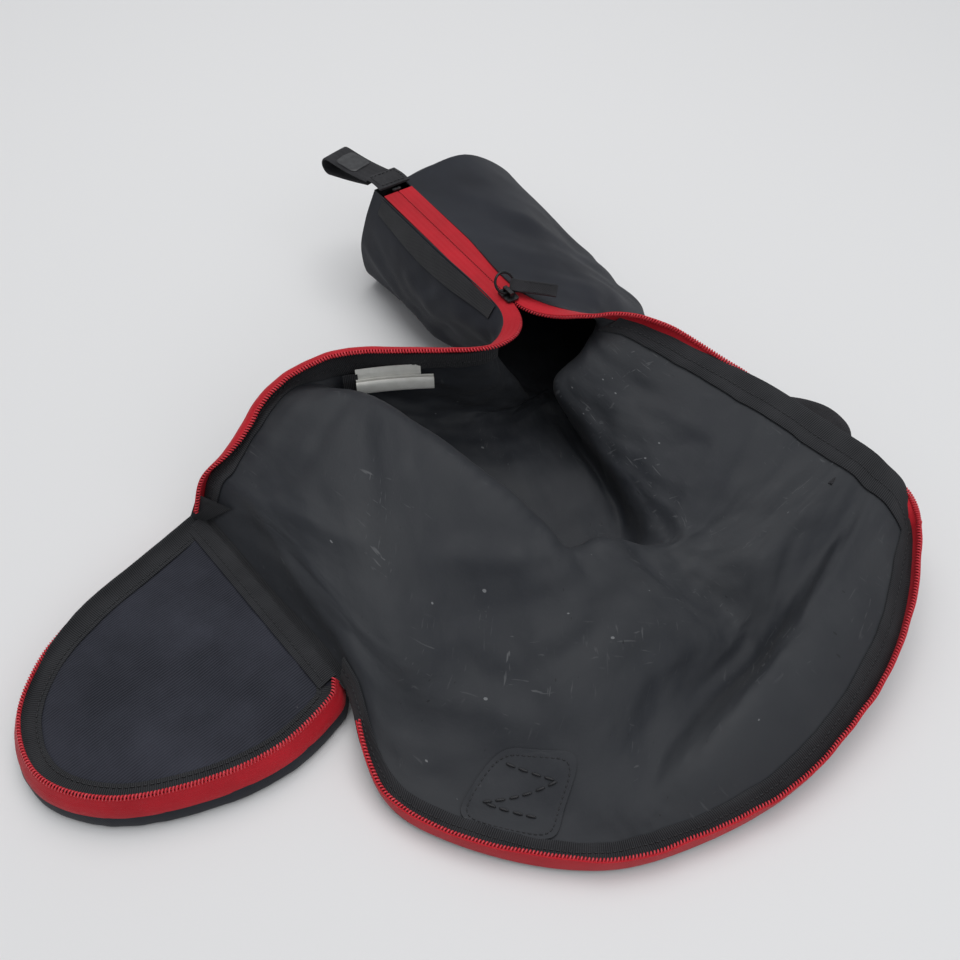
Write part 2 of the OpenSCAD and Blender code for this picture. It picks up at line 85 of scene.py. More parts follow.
# Sections of the closed part: distance along the zip, distance to its right, height.
SLIDER_SECTION = [[0, -13, 108], [0, -24, 86], [0, -6, 46], [0, 16, 10], [0, 32, 3],
                  [0, 60, 3], [0, 102, 3], [0, 138, 12], [0, 86, 76], [0, 13, 108]]
MIDDLE_SECTION = [[90, -13, 108], [90, -28, 66], [90, -18, 32], [90, 0, 7], [90, 24, 3],
                  [90, 64, 3], [90, 110, 3], [90, 156, 13], [90, 92, 76], [90, 13, 108]]
NARROW_SECTION = [[182, -13, 106], [187, -22, 76], [192, -26, 42], [198, -16, 10], [208, 18, 3],
                  [218, 62, 3], [226, 112, 6], [224, 155, 28], [212, 96, 84], [182, 13, 106]]
SLIDER_AT = 9
LAST = 11
RIM = 9
LEFT_SEAM = 4
RIGHT_SEAM = 6
HINGE_END = 2
GROUND = 2.2
LEFT_TILT = [95, 84, 74, 72, 72, 74, 76, 74, 50, 0, 0, 0]
MOUTH_TILT = [98, 94, 90, 88, 92, 98, 103, 104]
RIGHT_TILT = [104, 112, 112, 108, 106, 104, 104, 104, 86, 0, 0, 0]

HINGE_FROM = np.array([-207.0, -83.5, 0.0]) + MIDDLE
HINGE_TURN = math.radians(-49.8)
HINGE_DIR = np.array([math.cos(HINGE_TURN), math.sin(HINGE_TURN), 0.0])
LID_DIR = np.array([math.sin(HINGE_TURN), -math.cos(HINGE_TURN), 0.0])
LID_OUTLINE = [[-1, 4], [9, 50], [19, 97], [37, 139], [69, 169], [112, 175], [151, 149], [177, 101],
               [187, 55], [180, 14], [170, 4]]
LID_CENTRE = np.array([92.0, 84.0])
HINGE_GAP = 1.5
BAND_STEPS = 9                       # points across the lid's bands and the hinge's strips


def spread(origin, a, a_dir, b, b_dir, z):
    """Points at distances a and b along two directions from an origin, and z above it."""
    return (origin + np.multiply.outer(a, a_dir) + np.multiply.outer(b, b_dir)
            + np.multiply.outer(z, UP))


def zip_point(a, r, z):
    """A point a along the zip and r to its right, at height z."""
    return spread(ZIP_START, a, ZIP_DIR, r, ZIP_SIDE, z)


def lid_point(s, t, z):
    """A point s along the lid's hinge and t out from it, at height z."""
    return spread(HINGE_FROM, s, HINGE_DIR, t, LID_DIR, z)


def unit(v):
    return v / np.maximum(np.linalg.norm(v, axis=-1, keepdims=True), 1e-12)


def along(p, t):
    """Smooth curve through the rows of p, with its slopes held so that uneven steps make no loops."""
    p = np.asarray(p, float)
    flat = p.reshape(len(p), -1) if p.ndim < 3 else p
    d = np.diff(flat, axis=0)
    size = np.linalg.norm(d, axis=-1, keepdims=True)
    m = np.empty_like(flat)
    m[0], m[-1] = d[0], d[-1]
    mid = (d[1:] + d[:-1]) / 2
    most = 1.3 * np.minimum(size[1:], size[:-1])
    m[1:-1] = mid * np.minimum(1, most / np.maximum(np.linalg.norm(mid, axis=-1, keepdims=True), 1e-9))
    t = np.atleast_1d(np.asarray(t, float))
    i = np.clip(np.floor(t).astype(int), 0, len(p) - 2)
    f = (t - i).reshape((-1,) + (1,) * (flat.ndim - 1))
    b, c = flat[i], flat[i + 1]
    r = b + f * (m[i] + f * (3 * (c - b) - 2 * m[i] - m[i + 1] + f * (2 * (b - c) + m[i] + m[i + 1])))
    return r.reshape((len(t),) + p.shape[1:])


STATIONS = np.array([[np.array(q, float) + MIDDLE for q in s] for s in SECTIONS]
                    + [[zip_point(a, r, z) for a, r, z in s]
                       for s in (SLIDER_SECTION, MIDDLE_SECTION, NARROW_SECTION)])
GROUND_EASE = 1.2                    # how softly the cloth comes down to the surface


def shell_grid(us, vs):
    """The shell's surface at stations us and places vs across it."""
    p = along(np.stack([along(s, vs) for s in STATIONS]), us)
    p[..., 2] = GROUND + GROUND_EASE * np.logaddexp(0, (p[..., 2] - GROUND) / GROUND_EASE)
    return p


def grid_normals(p):
    """Unit normals of a grid of points, pointing out of the bag."""
    return unit(np.cross(np.gradient(p, axis=0), np.gradient(p, axis=1)))


def smoothed(p, rounds, share=0.5):
    """Laplacian smoothing of a grid that keeps its border."""
    for _ in range(rounds):
        r = p.copy()
        r[1:-1, 1:-1] = p[1:-1, 1:-1] * (1 - share) + share * (
            p[:-2, 1:-1] + p[2:, 1:-1] + p[1:-1, :-2] + p[1:-1, 2:]) / 4
        p = r
    return p


def eased(p, rounds):
    """Smoothing of a line of points that keeps its two ends."""
    q = p.copy()
    for _ in range(rounds):
        q[1:-1] = q[1:-1] / 2 + (q[:-2] + q[2:]) / 4
    return q


def arc_length(p):
    """The distance along a path to each of its points."""
    return np.concatenate([[0], np.cumsum(np.linalg.norm(np.diff(p, axis=0), axis=-1))])


def at_places(p, grid, places):
    """The rows of p, which stand at the values in grid, read at other places between them."""
    return np.stack([np.interp(places, grid, p[:, k]) for k in range(p.shape[1])], axis=-1)


def resample(p, step, *others):
    """Points at an even step along a path, and the other arrays at the same places."""
    s = arc_length(p)
    q = np.linspace(0, s[-1], max(2, int(round(s[-1] / step)) + 1))
    out = [at_places(p, s, q)]
    for o in others:
        out.append(np.interp(q, s, o) if o.ndim == 1 else at_places(o, s, q))
    return q, out


def tangents(p):
    """Unit tangents of a path."""
    return unit(np.gradient(p, axis=0))


def rounded_box(centre, half, power, count):
    """A closed ring of points round a box with rounded corners."""
    a = np.linspace(0, 2 * math.pi, count + 1)[:-1]
    x, y = np.cos(a), np.sin(a)
    return np.stack([centre[0] + half[0] * np.sign(x) * np.abs(x) ** power,
                     centre[1] + half[1] * np.sign(y) * np.abs(y) ** power], axis=-1)


def noise1(x, scale, seed, octaves=3):
    """Smooth seeded noise along a line, about -1 to 1."""
    r = np.random.default_rng(seed)
    out = np.zeros_like(np.asarray(x, float))
    for o in range(octaves):
        f = 2 ** o / scale
        for _ in range(3):
            out += np.sin(x * f * 2 * math.pi * r.uniform(0.6, 1.4) + r.uniform(0, 7)) / (3 * 1.6 ** o)
    return out


# ---------------------------------------------------------------- meshes

def mesh_object(name, verts, faces, mats, face_mat, coords, sharp=50):
    """A mesh piece in metres from points in millimetres. coords are cloth coordinates in metres."""
    me = bpy.data.meshes.new(name)
    verts = np.asarray(verts, float) * MM
    if isinstance(faces, np.ndarray):
        n, k = faces.shape
        me.vertices.add(len(verts))
        me.vertices.foreach_set("co", verts.ravel())
        me.loops.add(n * k)
        me.loops.foreach_set("vertex_index", faces.astype(np.int32).ravel())
        me.polygons.add(n)
        me.polygons.foreach_set("loop_start", np.arange(0, n * k, k, dtype=np.int32))
        me.polygons.foreach_set("loop_total", np.full(n, k, dtype=np.int32))
        me.update(calc_edges=True)
    else:
        me.from_pydata([tuple(v) for v in verts], [], faces)
    for m in mats:
        me.materials.append(m)
    if face_mat is not None:
        me.polygons.foreach_set("material_index", np.asarray(face_mat, dtype=np.int32))
    me.polygons.foreach_set("use_smooth", np.full(len(me.polygons), True))
    at = me.attributes.new("cloth", "FLOAT_VECTOR", "POINT")
    at.data.foreach_set("vector", np.asarray(coords, np.float32).ravel())
    me.validate()
    bm = bmesh.new()
    bm.from_mesh(me)
    bmesh.ops.recalc_face_normals(bm, faces=bm.faces)
    bm.to_mesh(me)
    bm.free()
    if sharp:
        me.set_sharp_from_angle(angle=math.radians(sharp))
    o = bpy.data.objects.new(name, me)
    bpy.context.scene.collection.objects.link(o)
    return o


def arc_coords(p):
    """Cloth coordinates of a grid in metres: arc length along the rows and along the columns."""
    s = np.zeros(p.shape[:2])
    t = np.zeros(p.shape[:2])
    s[1:] = np.cumsum(np.linalg.norm(np.diff(p, axis=0), axis=-1), axis=0)
    t[:, 1:] = np.cumsum(np.linalg.norm(np.diff(p, axis=1), axis=-1), axis=1)
    s[:] = s.mean(axis=1, keepdims=True)
    t[:] = t.mean(axis=0, keepdims=True)
    return np.stack([s, t, np.zeros_like(s)], axis=-1) * MM


def slab(name, inner, outer, mats, coords):
    """A closed sheet between two grids of points in millimetres. Its outer face takes the last material."""
    rows, cols = inner.shape[:2]
    n = rows * cols
    idx = np.arange(n).reshape(rows, cols)
    quads = np.stack([idx[:-1, :-1], idx[:-1, 1:], idx[1:, 1:], idx[1:, :-1]], axis=-1).reshape(-1, 4)
    border = np.concatenate([idx[0, :-1], idx[:-1, -1], idx[-1, :0:-1], idx[:0:-1, 0]])
    nxt = np.roll(border, -1)
    rim = np.stack([border, border + n, nxt + n, nxt], axis=-1)
    kinds = np.zeros(2 * len(quads) + len(rim), int)
    kinds[len(quads):2 * len(quads)] = len(mats) - 1
    coords = coords.reshape(-1, 3)
    return mesh_object(name, np.concatenate([inner.reshape(-1, 3), outer.reshape(-1, 3)]),
                       np.concatenate([quads, quads[:, ::-1] + n, rim]), mats, kinds,
                       np.concatenate([coords, coords]))


def sweep(name, rings, mats, coords=None, sharp=50):
    """A closed tube through rings of points, shape (rings, points, 3)."""
    k, m = rings.shape[:2]
    idx = np.arange(k * m).reshape(k, m)
    nxt = np.roll(idx, -1, axis=1)
    quads = np.stack([idx[:-1], nxt[:-1], nxt[1:], idx[1:]], axis=-1).reshape(-1, 4)
    faces = [tuple(f) for f in quads.tolist() + [idx[0][::-1].tolist(), idx[-1].tolist()]]
    if coords is None:
        t = np.zeros((k, m))
        t[:, 1:] = np.cumsum(np.linalg.norm(np.diff(rings, axis=1), axis=-1), axis=1)
        s = np.repeat(arc_length(rings.mean(axis=1))[:, None], m, 1)
        coords = np.stack([s, t, np.zeros_like(t)], axis=-1) * MM
    return mesh_object(name, rings.reshape(-1, 3), faces, mats, None, coords.reshape(-1, 3), sharp)


def place(piece, slot, body, *nodes):
    """Rides a piece on a body, and hides the CAD nodes that it stands for; slot is not used."""
    if body:
        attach(piece, body)
    if nodes:
        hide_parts(*nodes)
    return piece


def sheet(name, faces, middle, mats, slot, body, *nodes, held="stretched", rests_on="shell panels",
          coords=None):
    """A slab of cloth between two faces, with cloth coordinates from its middle grid unless others are given.
    """
    piece = slab(name, *faces, mats, arc_coords(middle) if coords is None else coords)
    return place(piece, slot, body, *nodes)


# ---------------------------------------------------------------- materials

QUARTER = math.pi / 2


def rgba(v):
    """A colour with its alpha; anything else is left as it is."""
    return (*v, 1) if isinstance(v, tuple) and len(v) == 3 else v


def waves(pitch):
    """The scale of a wave texture that repeats at a pitch in metres."""
    return 1 / pitch / 3.2


class Nodes:
    """A short way to write a material's node tree."""

    def __init__(self, name):
        self.m = bpy.data.materials.new(name)
        self.m.use_nodes = True
        self.t = self.m.node_tree
        self.t.nodes.clear()
        self.b = self.add("ShaderNodeBsdfPrincipled")
        self.t.links.new(self.b.outputs[0], self.add("ShaderNodeOutputMaterial").inputs[0])

    def add(self, kind, vec=None, **values):
        """A node of this kind, with its Vector input and its plain values."""
        n = self.t.nodes.new(kind)
        if vec is not None:
            self.put(n.inputs["Vector"], vec)
        for k, v in values.items():
            n.inputs[k].default_value = v
        return n

    def put(self, socket, v):
        if isinstance(v, bpy.types.NodeSocket):
            self.t.links.new(v, socket)
        else:
            socket.default_value = v

    def cloth(self):
        n = self.add("ShaderNodeAttribute")
        n.attribute_name = "cloth"
        return n.outputs["Vector"]

    def object_coords(self):
        return self.add("ShaderNodeTexCoord").outputs["Object"]

    def scaled(self, vec, scale, turn=0.0):
        return self.add("ShaderNodeMapping", vec, Scale=scale, Rotation=(0, 0, turn)).outputs[0]

    def math(self, op, a, b):
        n = self.add("ShaderNodeMath")
        n.operation = op
        self.put(n.inputs[0], a)
        self.put(n.inputs[1], b)
        return n.outputs[0]

    def times(self, a, b):
        return self.math("MULTIPLY", a, b)

    def noise(self, vec, scale, detail=3.0, rough=0.5, distort=0.0):
        return self.add("ShaderNodeTexNoise", vec, Scale=scale, Detail=detail, Roughness=rough,
                        Distortion=distort).outputs["Fac"]

    def wave(self, vec, scale, turn=0.0):
        vec = self.scaled(vec, (1, 1, 1), turn) if turn else vec
        return self.add("ShaderNodeTexWave", vec, Scale=scale, Distortion=0.0, Detail=0.0).outputs["Fac"]

    def herringbone(self, vec, half, lean, pitch):
        """Ribs across the cloth that zigzag, with half a zigzag's width and their lean."""
        split = self.add("ShaderNodeSeparateXYZ")
        self.put(split.inputs[0], vec)
        zigzag = self.times(self.math("PINGPONG", split.outputs[1], half), lean)
        joined = self.add("ShaderNodeCombineXYZ")
        self.put(joined.inputs[0], self.math("ADD", split.outputs[0], zigzag))
        return self.wave(joined.outputs[0], waves(pitch))

    def rise(self, fac, low, high, most=1.0, least=0.0):
        """A value that goes from least to most as fac goes from low to high."""
        n = self.add("ShaderNodeValToRGB")
        self.put(n.inputs[0], fac)
        for stop, position, value in zip(n.color_ramp.elements, (low, high), (least, most)):
            stop.position = position
            stop.color = (value, value, value, 1)
        return n.outputs[0]

    def mix(self, fac, a, b):
        n = self.add("ShaderNodeMix")
        n.data_type = "RGBA"
        self.put(n.inputs[0], fac)
        self.put(n.inputs[6], rgba(a))
        self.put(n.inputs[7], rgba(b))
        return n.outputs[2]

    def specks(self, tone, vec, density, patches, size, less, color, share):
        """Scattered specks of a colour, larger in some patches and missing in others."""
        cell = self.add("ShaderNodeTexVoronoi", vec, Scale=density, Randomness=1.0).outputs["Distance"]
        reach = self.math("SUBTRACT", self.times(self.noise(self.cloth(), patches, 1), size), less)
        return self.mix(self.times(self.math("LESS_THAN", cell, reach), share), tone, color)

    def bump(self, height, strength, distance, normal=None):
        n = self.add("ShaderNodeBump", Strength=strength, Distance=distance)
        self.put(n.inputs["Height"], height)
        if normal is not None:
            self.put(n.inputs["Normal"], normal)
        return n.outputs[0]

    def done(self, color, rough, normal, **plain):
        """The material, from its three linked inputs and its plain values."""
        self.put(self.b.inputs["Base Color"], rgba(color))
        self.put(self.b.inputs["Roughness"], rough)
        self.put(self.b.inputs["Normal"], normal)
        for k, v in plain.items():
            self.b.inputs[k.replace("_", " ")].default_value = v
        return self.m


def coated_material():
    """Coated inside of the nylon: a faint weave, broad painted sheen and shade in random patches, pale rubs,
    white lint and dark flecks.
    """
    n = Nodes("coated_inside")
    c = n.cloth()
    mid = n.noise(c, 45, 4, 0.6)
    # broad patches lighter and darker at random: the cloth's own wandering tone, widened into painted sheen and
    # painted fold shade
    tone = n.mix(n.rise(n.noise(c, 9, 3, 0.55), 0.3, 0.72), (0.0145, 0.0168, 0.0225), (0.031, 0.0335, 0.038))
    tone = n.mix(n.times(n.rise(mid, 0.45, 0.8), 0.3), tone, (0.05, 0.052, 0.056))
    # pale rubbed streaks, which lie two ways and only in some places
    streak = n.math("MAXIMUM", n.noise(n.scaled(c, (26, 150, 1), 0.5), 3.0, 2, 0.5, 0.6),
                    n.noise(n.scaled(c, (130, 22, 1), -0.35), 3.0, 2, 0.5, 0.8))
    rub = n.times(n.rise(streak, 0.665, 0.72), n.rise(n.noise(c, 16, 2), 0.5, 0.68))
    tone = n.mix(n.times(rub, 0.42), tone, (0.16, 0.165, 0.172))
    tone = n.specks(tone, n.scaled(c, (1, 0.72, 1), 0.7), 62, 33, 0.16, 0.046, (0.30, 0.31, 0.32), 0.45)
    tone = n.specks(tone, n.scaled(c, (1, 2.3, 1), -0.6), 70, 21, 0.28, 0.10, (0.008, 0.009, 0.011), 0.7)
    weave = n.times(n.wave(c, 620), n.wave(c, 620, QUARTER))
    dents = n.bump(n.noise(c, 60, 4, 0.6), 0.35, 0.0012)
    return n.done(tone, n.rise(mid, 0.3, 0.75, 0.70, 0.56), n.bump(weave, 0.10, 0.0002, dents),
                  Specular_IOR_Level=0.32, Sheen_Weight=0.04, Sheen_Roughness=0.5)


def twill_material(name, dark, light, pitch, turn, rough, bump, sheen):
    """Black twill: diagonal ribs with a faint cross weave, and slow changes of tone."""
    n = Nodes(name)
    c = n.cloth()
    # the ribs wander a little
    shift = n.add("ShaderNodeCombineXYZ")
    n.put(shift.inputs[0], n.times(n.noise(c, 60, 2), 0.0006))
    moved = n.add("ShaderNodeVectorMath")
    n.put(moved.inputs[0], c)
    n.put(moved.inputs[1], shift.outputs[0])
    rib = n.wave(moved.outputs[0], waves(pitch), turn)
    cross = n.wave(moved.outputs[0], waves(pitch) * 1.9, turn - 1.2)
    broad = n.noise(c, 14, 4, 0.6)
    tone = n.mix(n.times(rib, 0.75), dark, light)
    tone = n.mix(n.rise(broad, 0.35, 0.75, 0.55), tone, tuple(1.45 * x for x in light))
    tone = n.specks(tone, c, 85, 25, 0.16, 0.065, (0.22, 0.22, 0.23), 0.30)
    relief = n.math("ADD", rib, n.times(cross, 0.35))
    return n.done(tone, rough, n.bump(relief, bump, 0.00025, n.bump(broad, 0.3, 0.0015)),
                  Specular_IOR_Level=0.22, Sheen_Weight=sheen, Sheen_Roughness=0.45)


def binding_material():
    """Ribbed grosgrain: ribs across the strip, plainly seen, in matte black."""
    n = Nodes("grosgrain_binding")
    c = n.cloth()
    rib = n.wave(c, waves(0.0013))
    tone = n.mix(rib, (0.007, 0.0075, 0.009), (0.040, 0.041, 0.045))
    tone = n.mix(n.rise(n.noise(c, 40, 3), 0.4, 0.8, 0.5), tone, (0.045, 0.046, 0.05))
    relief = n.math("ADD", rib, n.times(n.wave(c, waves(0.0009), QUARTER), 0.3))
    return n.done(tone, 0.82, n.bump(relief, 0.7, 0.0004),
                  Specular_IOR_Level=0.22, Sheen_Weight=0.06, Sheen_Roughness=0.5)


def tape_material():
    """Red woven zip tape: fine lengthwise cords over a herringbone, a little faded and fuzzy."""
    n = Nodes("red_zip_tape")
    c = n.cloth()
    bone = n.herringbone(c, 0.0022, 1.0, 0.0012)
    broad = n.noise(c, 22, 4, 0.6)
    tone = n.mix(n.rise(broad, 0.3, 0.75), (0.43, 0.005, 0.014), (0.60, 0.009, 0.022))
    tone = n.mix(n.times(bone, 0.30), tone, (0.27, 0.002, 0.009))
    tone = n.mix(n.rise(n.noise(c, 300, 3, 0.7), 0.6, 0.85, 0.35), tone, (0.66, 0.06, 0.075))
    relief = n.math("ADD", n.times(n.wave(c, waves(0.0011), QUARTER), 0.5), bone)
    return n.done(tone, 0.68, n.bump(relief, 0.45, 0.0003, n.bump(broad, 0.4, 0.0012)),
                  Specular_IOR_Level=0.3, Sheen_Weight=0.08, Sheen_Roughness=0.4)


def coil_material():
    """Nylon teeth, a slightly paler red than the tape, satin."""
    n = Nodes("red_zip_teeth")
    c = n.cloth()
    tone = n.mix(n.rise(n.noise(c, 90, 2), 0.3, 0.8), (0.60, 0.016, 0.032), (0.76, 0.075, 0.095))
    return n.done(tone, 0.42, n.bump(n.noise(c, 900, 2), 0.15, 0.0002), Specular_IOR_Level=0.5)


def webbing_material():
    """Flat woven webbing: herringbone rows along the strap."""
    n = Nodes("woven_webbing")
    c = n.cloth()
    rib = n.herringbone(c, 0.0024, 1.2, 0.0014)
    tone = n.mix(rib, (0.012, 0.012, 0.014), (0.034, 0.034, 0.038))
    tone = n.mix(n.rise(n.noise(c, 60, 3), 0.45, 0.8, 0.4), tone, (0.0578, 0.0578, 0.0646))
    return n.done(tone, 0.74, n.bump(rib, 0.7, 0.0004), Specular_IOR_Level=0.25, Sheen_Weight=0.05)


def thread_material():
    """Black sewing thread with its twist."""
    n = Nodes("bonded_thread")
    twist = n.wave(n.cloth(), waves(0.0008), 0.6)
    tone = n.mix(twist, (0.010, 0.010, 0.012), (0.045, 0.046, 0.050))
    return n.done(tone, 0.6, n.bump(twist, 0.4, 0.0002), Specular_IOR_Level=0.4)


def label_material():
    """White satin ribbon with a fine weave, greyer in places."""
    n = Nodes("satin_label")
    c = n.cloth()
    weave = n.times(n.wave(c, 700), n.wave(c, 500, QUARTER))
    tone = n.mix(n.rise(n.noise(c, 120, 3), 0.35, 0.8), (0.76, 0.76, 0.72), (0.62, 0.62, 0.58))
    return n.done(tone, 0.5, n.bump(weave, 0.2, 0.0002), Specular_IOR_Level=0.4, Sheen_Weight=0.2)


def metal_material():
    """Black plated zinc, slightly worn to a lighter edge."""
    n = Nodes("black_plated_metal")
    c = n.object_coords()
    edges = n.rise(n.add("ShaderNodeNewGeometry").outputs["Pointiness"], 0.52, 0.62)
    wear = n.times(edges, n.rise(n.noise(c, 900, 3), 0.4, 0.7, 1.0, 0.2))
    tone = n.mix(n.times(wear, 0.5), (0.016, 0.016, 0.018), (0.16, 0.16, 0.165))
    return n.done(tone, n.rise(n.noise(c, 700, 4), 0.35, 0.75, 0.42, 0.26),
                  n.bump(n.noise(c, 1600, 3), 0.08, 0.0001), Metallic=0.7, Specular_IOR_Level=0.6)


def rubber_material():
    """Smooth matte rubber with faint patches."""
    n = Nodes("moulded_rubber")
    c = n.cloth()
    tone = n.mix(n.rise(n.noise(c, 220, 4), 0.4, 0.8), (0.028, 0.029, 0.032), (0.055, 0.056, 0.06))
    return n.done(tone, 0.5, n.bump(n.noise(c, 1500, 3), 0.15, 0.0002), Specular_IOR_Level=0.5)


def floor_material():
    """Pale matte paper."""
    n = Nodes("studio_floor")
    return n.done((0.80, 0.80, 0.805), 0.85, n.bump(n.noise(n.object_coords(), 4, 2), 0.02, 0.01))


COATED = coated_material()
OUTER = twill_material("outer_nylon", (0.0085, 0.0095, 0.014), (0.019, 0.0215, 0.029), 0.0011, 0.785,
                       0.72, 0.35, 0.06)
LINING = twill_material("lid_twill", (0.006, 0.007, 0.0115), (0.037, 0.039, 0.053), 0.0017, 0.06,
                        0.75, 0.6, 0.05)
BINDING = binding_material()
TAPE = tape_material()
TEETH = coil_material()
WEBBING = webbing_material()
THREAD = thread_material()
LABEL = label_material()
METAL = metal_material()
RUBBER = rubber_material()

# ---------------------------------------------------------------- the shell

NU, NV = 276, 226                    # about 2.5 mm apart
us = np.linspace(0, LAST, NU)
vs = np.linspace(0, RIM, NV)
base = smoothed(shell_grid(us, vs), 14)


def rim_fixed_noise(p):
    """Small soft unevenness of limp fabric, none at the sewn edges."""
    u = us[:, None] / LAST
    v = vs[None, :] / RIM
    edge = np.minimum(1, np.minimum(v, 1 - v) * 12) * np.minimum(1, u * 14) * np.minimum(1, (1 - u) * 10)
    r = np.random.default_rng(3)
    c = arc_coords(p) / MM
    h = np.zeros(p.shape[:2])
    for size, much in ((70, 0.9), (38, 0.5), (19, 0.22), (9, 0.08)):
        for _ in range(7):
            angle = r.uniform(0, math.pi)
            way = c[..., 0] * math.cos(angle) + c[..., 1] * math.sin(angle)
            h += much / 2.2 * np.sin(way * 2 * math.pi / (size * r.uniform(0.7, 1.4)) + r.uniform(0, 7))
    return p + (h * edge)[..., None] * grid_normals(p)


# Folds and dents: (station, across) points, height towards the inside in mm,
# half width in mm, and how blunt the fold is (2 is a smooth bell, less is a sharper crease).
FOLDS = [
    ([(5.2, 0.5), (4.1, 1.4), (4.0, 2.2), (3.95, 3.6), (3.7, 4.6)], 3.6, 15, 1.2),
    ([(3.3, 2.4), (3.4, 3.2), (3.5, 3.8), (3.7, 4.5)], 2.2, 8, 1.5),
    ([(3.7, 4.6), (3.9, 5.9), (4.3, 6.8)], 2.4, 14, 1.5),
    ([(4.0, 7.0), (3.5, 6.7), (2.6, 6.5)], 1.8, 12, 2),
    ([(3.1, 5.2), (2.7, 4.7), (2.5, 4.3)], -2.0, 9, 2),
    ([(0.8, 8.8), (1.0, 8.0), (1.2, 7.2), (1.0, 6.5), (0.3, 5.7)], -3.2, 16, 1.2),
    ([(6.8, 7.1), (5.7, 7.0), (3.6, 7.15), (1.5, 7.2)], -3.0, 12, 1.3),
    ([(1.9, 0.3), (1.2, 0.8), (0.8, 1.25), (0.75, 1.85), (0.35, 2.2)], 2.6, 8, 1.5),
    ([(6.6, 1.4), (7.4, 1.5), (8.2, 1.5)], -1.4, 6, 1.5),
    ([(1.7, 0.3), (2.5, 0.9), (3.0, 1.5)], 1.5, 6, 2),
    ([(1.9, 0.25), (3.0, 0.6), (3.9, 0.9)], -1.6, 7, 2),
    ([(2.2, 0.2), (3.4, 0.3), (4.2, 0.5)], 1.2, 5, 2),
    ([(2.6, 2.6), (2.3, 3.3), (2.4, 3.9)], -1.3, 10, 2),
    ([(1.8, 3.2), (1.9, 3.9), (1.6, 4.6)], 1.1, 12, 2),
    ([(2.4, 8.7), (3.0, 8.0), (3.4, 7.6)], 1.6, 16, 2),
    ([(5.2, 8.4), (4.6, 7.9), (4.4, 7.4)], -1.5, 15, 2),
    ([(9.1, 2.7), (9.6, 2.2), (10.2, 1.9), (10.9, 1.6)], -4.5, 9, 1.4),
    ([(9.5, 8.2), (9.9, 7.6), (10.6, 7.4)], 1.6, 14, 2),
    ([(10.6, 8.6), (10.1, 8.0), (9.7, 7.2)], -1.5, 10, 2),
    ([(9.3, 2.6), (9.8, 3.2), (10.4, 3.3)], 1.8, 10, 2),
]
FOLD_GAIN = 1.35                     # the folds above stand this much higher than written
SMALL_FOLDS = 46
SEWN_EDGE = 0.45                     # how far across from a sewn edge the folds fade out
SEWN_MOUTH = 0.35


def folded(p):
    """The shell with its folds, each a ridge or a groove along a smooth line; none at the sewn edges."""
    edge = np.clip(np.minimum(vs, RIM - vs) / SEWN_EDGE, 0, 1)[None] * np.clip(us / SEWN_MOUTH, 0, 1)[:, None]
    h = np.zeros(p.shape[:2])
    r = np.random.default_rng(11)
    folds = [(line, FOLD_GAIN * high, wide, power) for line, high, wide, power in FOLDS]
    for _ in range(SMALL_FOLDS):
        u0, v0 = r.uniform(0.5, 10.5), r.uniform(0.6, 8.4)
        a, long = r.uniform(0, math.pi), r.uniform(0.25, 0.6)
        du, dv = long * math.cos(a), long * math.sin(a)
        folds.append(([(u0, v0), (u0 + du * 0.5 + r.uniform(-.08, .08), v0 + dv * 0.5), (u0 + du, v0 + dv)],
                      r.choice([-1, 1]) * r.uniform(0.35, 0.9), r.uniform(4, 9), 2))
    for line, high, wide, power in folds:
        line = along(line, np.linspace(0, len(line) - 1, 28))
        i = np.clip((line[:, 0] / LAST * (NU - 1)).round().astype(int), 0, NU - 1)
        j = np.clip((line[:, 1] / RIM * (NV - 1)).round().astype(int), 0, NV - 1)
        q = eased(p[i, j], 3)
        reach = np.ptp(q, axis=0).max() / 2 + 3 * wide + 20
        near = np.nonzero(np.abs(p - q.mean(axis=0)).max(axis=-1) < reach)
        d = np.linalg.norm(p[near][:, None] - q[None], axis=-1)
        fade = np.sin(math.pi * np.clip((d.argmin(axis=1) + 1.5) / 30, 0.03, 0.97)) ** 0.6
        h[near] += high * fade * np.exp(-(d.min(axis=1) / wide) ** power)
    return p - (h * edge)[..., None] * grid_normals(p)


# The right front corner: grid steps eased along the mouth and along the slit, and the fade beside them.
CORNER_MOUTH = 44
CORNER_SLIT = 40
CORNER_FADE = 14.0


def rounded_corner(p):
    """Eases the border round the right front corner, and draws the cloth beside it along."""
    border = np.concatenate([p[0, -CORNER_MOUTH:], p[1:CORNER_SLIT, -1]])
    moved = eased(border, 90) - border
    q = p.copy()
    fade_u = np.exp(-np.arange(NU) / CORNER_FADE)[:, None, None]
    fade_v = np.exp(-np.arange(NV)[::-1] / CORNER_FADE)[None, :, None]
    q[:, -CORNER_MOUTH:] += moved[:CORNER_MOUTH][None] * fade_u
    side = np.zeros((NU, 1, 3))
    side[1:CORNER_SLIT, 0] = moved[CORNER_MOUTH:]
    q[1:] += (side * fade_v)[1:]
    return q


inner_face = smoothed(folded(rounded_corner(rim_fixed_noise(base))), 2)
inner_face[..., 2] = np.maximum(inner_face[..., 2], PANEL_T + 0.5)
normals = grid_normals(inner_face)
outer_face = inner_face + PANEL_T * normals
shell_coords = arc_coords(inner_face)


def column(v):
    """The grid column nearest to place v across the shell."""
    return int(round(v / RIM * (NV - 1)))


def panel(name, node, v0, v1):
    """The shell's cloth between two places across it."""
    cols = slice(column(v0), column(v1) + 1)
    inner = inner_face[:, cols]
    sheet(name, (inner, outer_face[:, cols]), inner, [COATED, OUTER], "coated_fabric", "shell", node,
          held="laid", rests_on="floor", coords=shell_coords[:, cols])


panel("left_panel", "left_body_panel", 0, LEFT_SEAM)
panel("base_sheet", "base_panel", LEFT_SEAM, RIGHT_SEAM)
panel("right_panel", "right_body_panel", RIGHT_SEAM, RIM)

# ---------------------------------------------------------------- edges of the opening

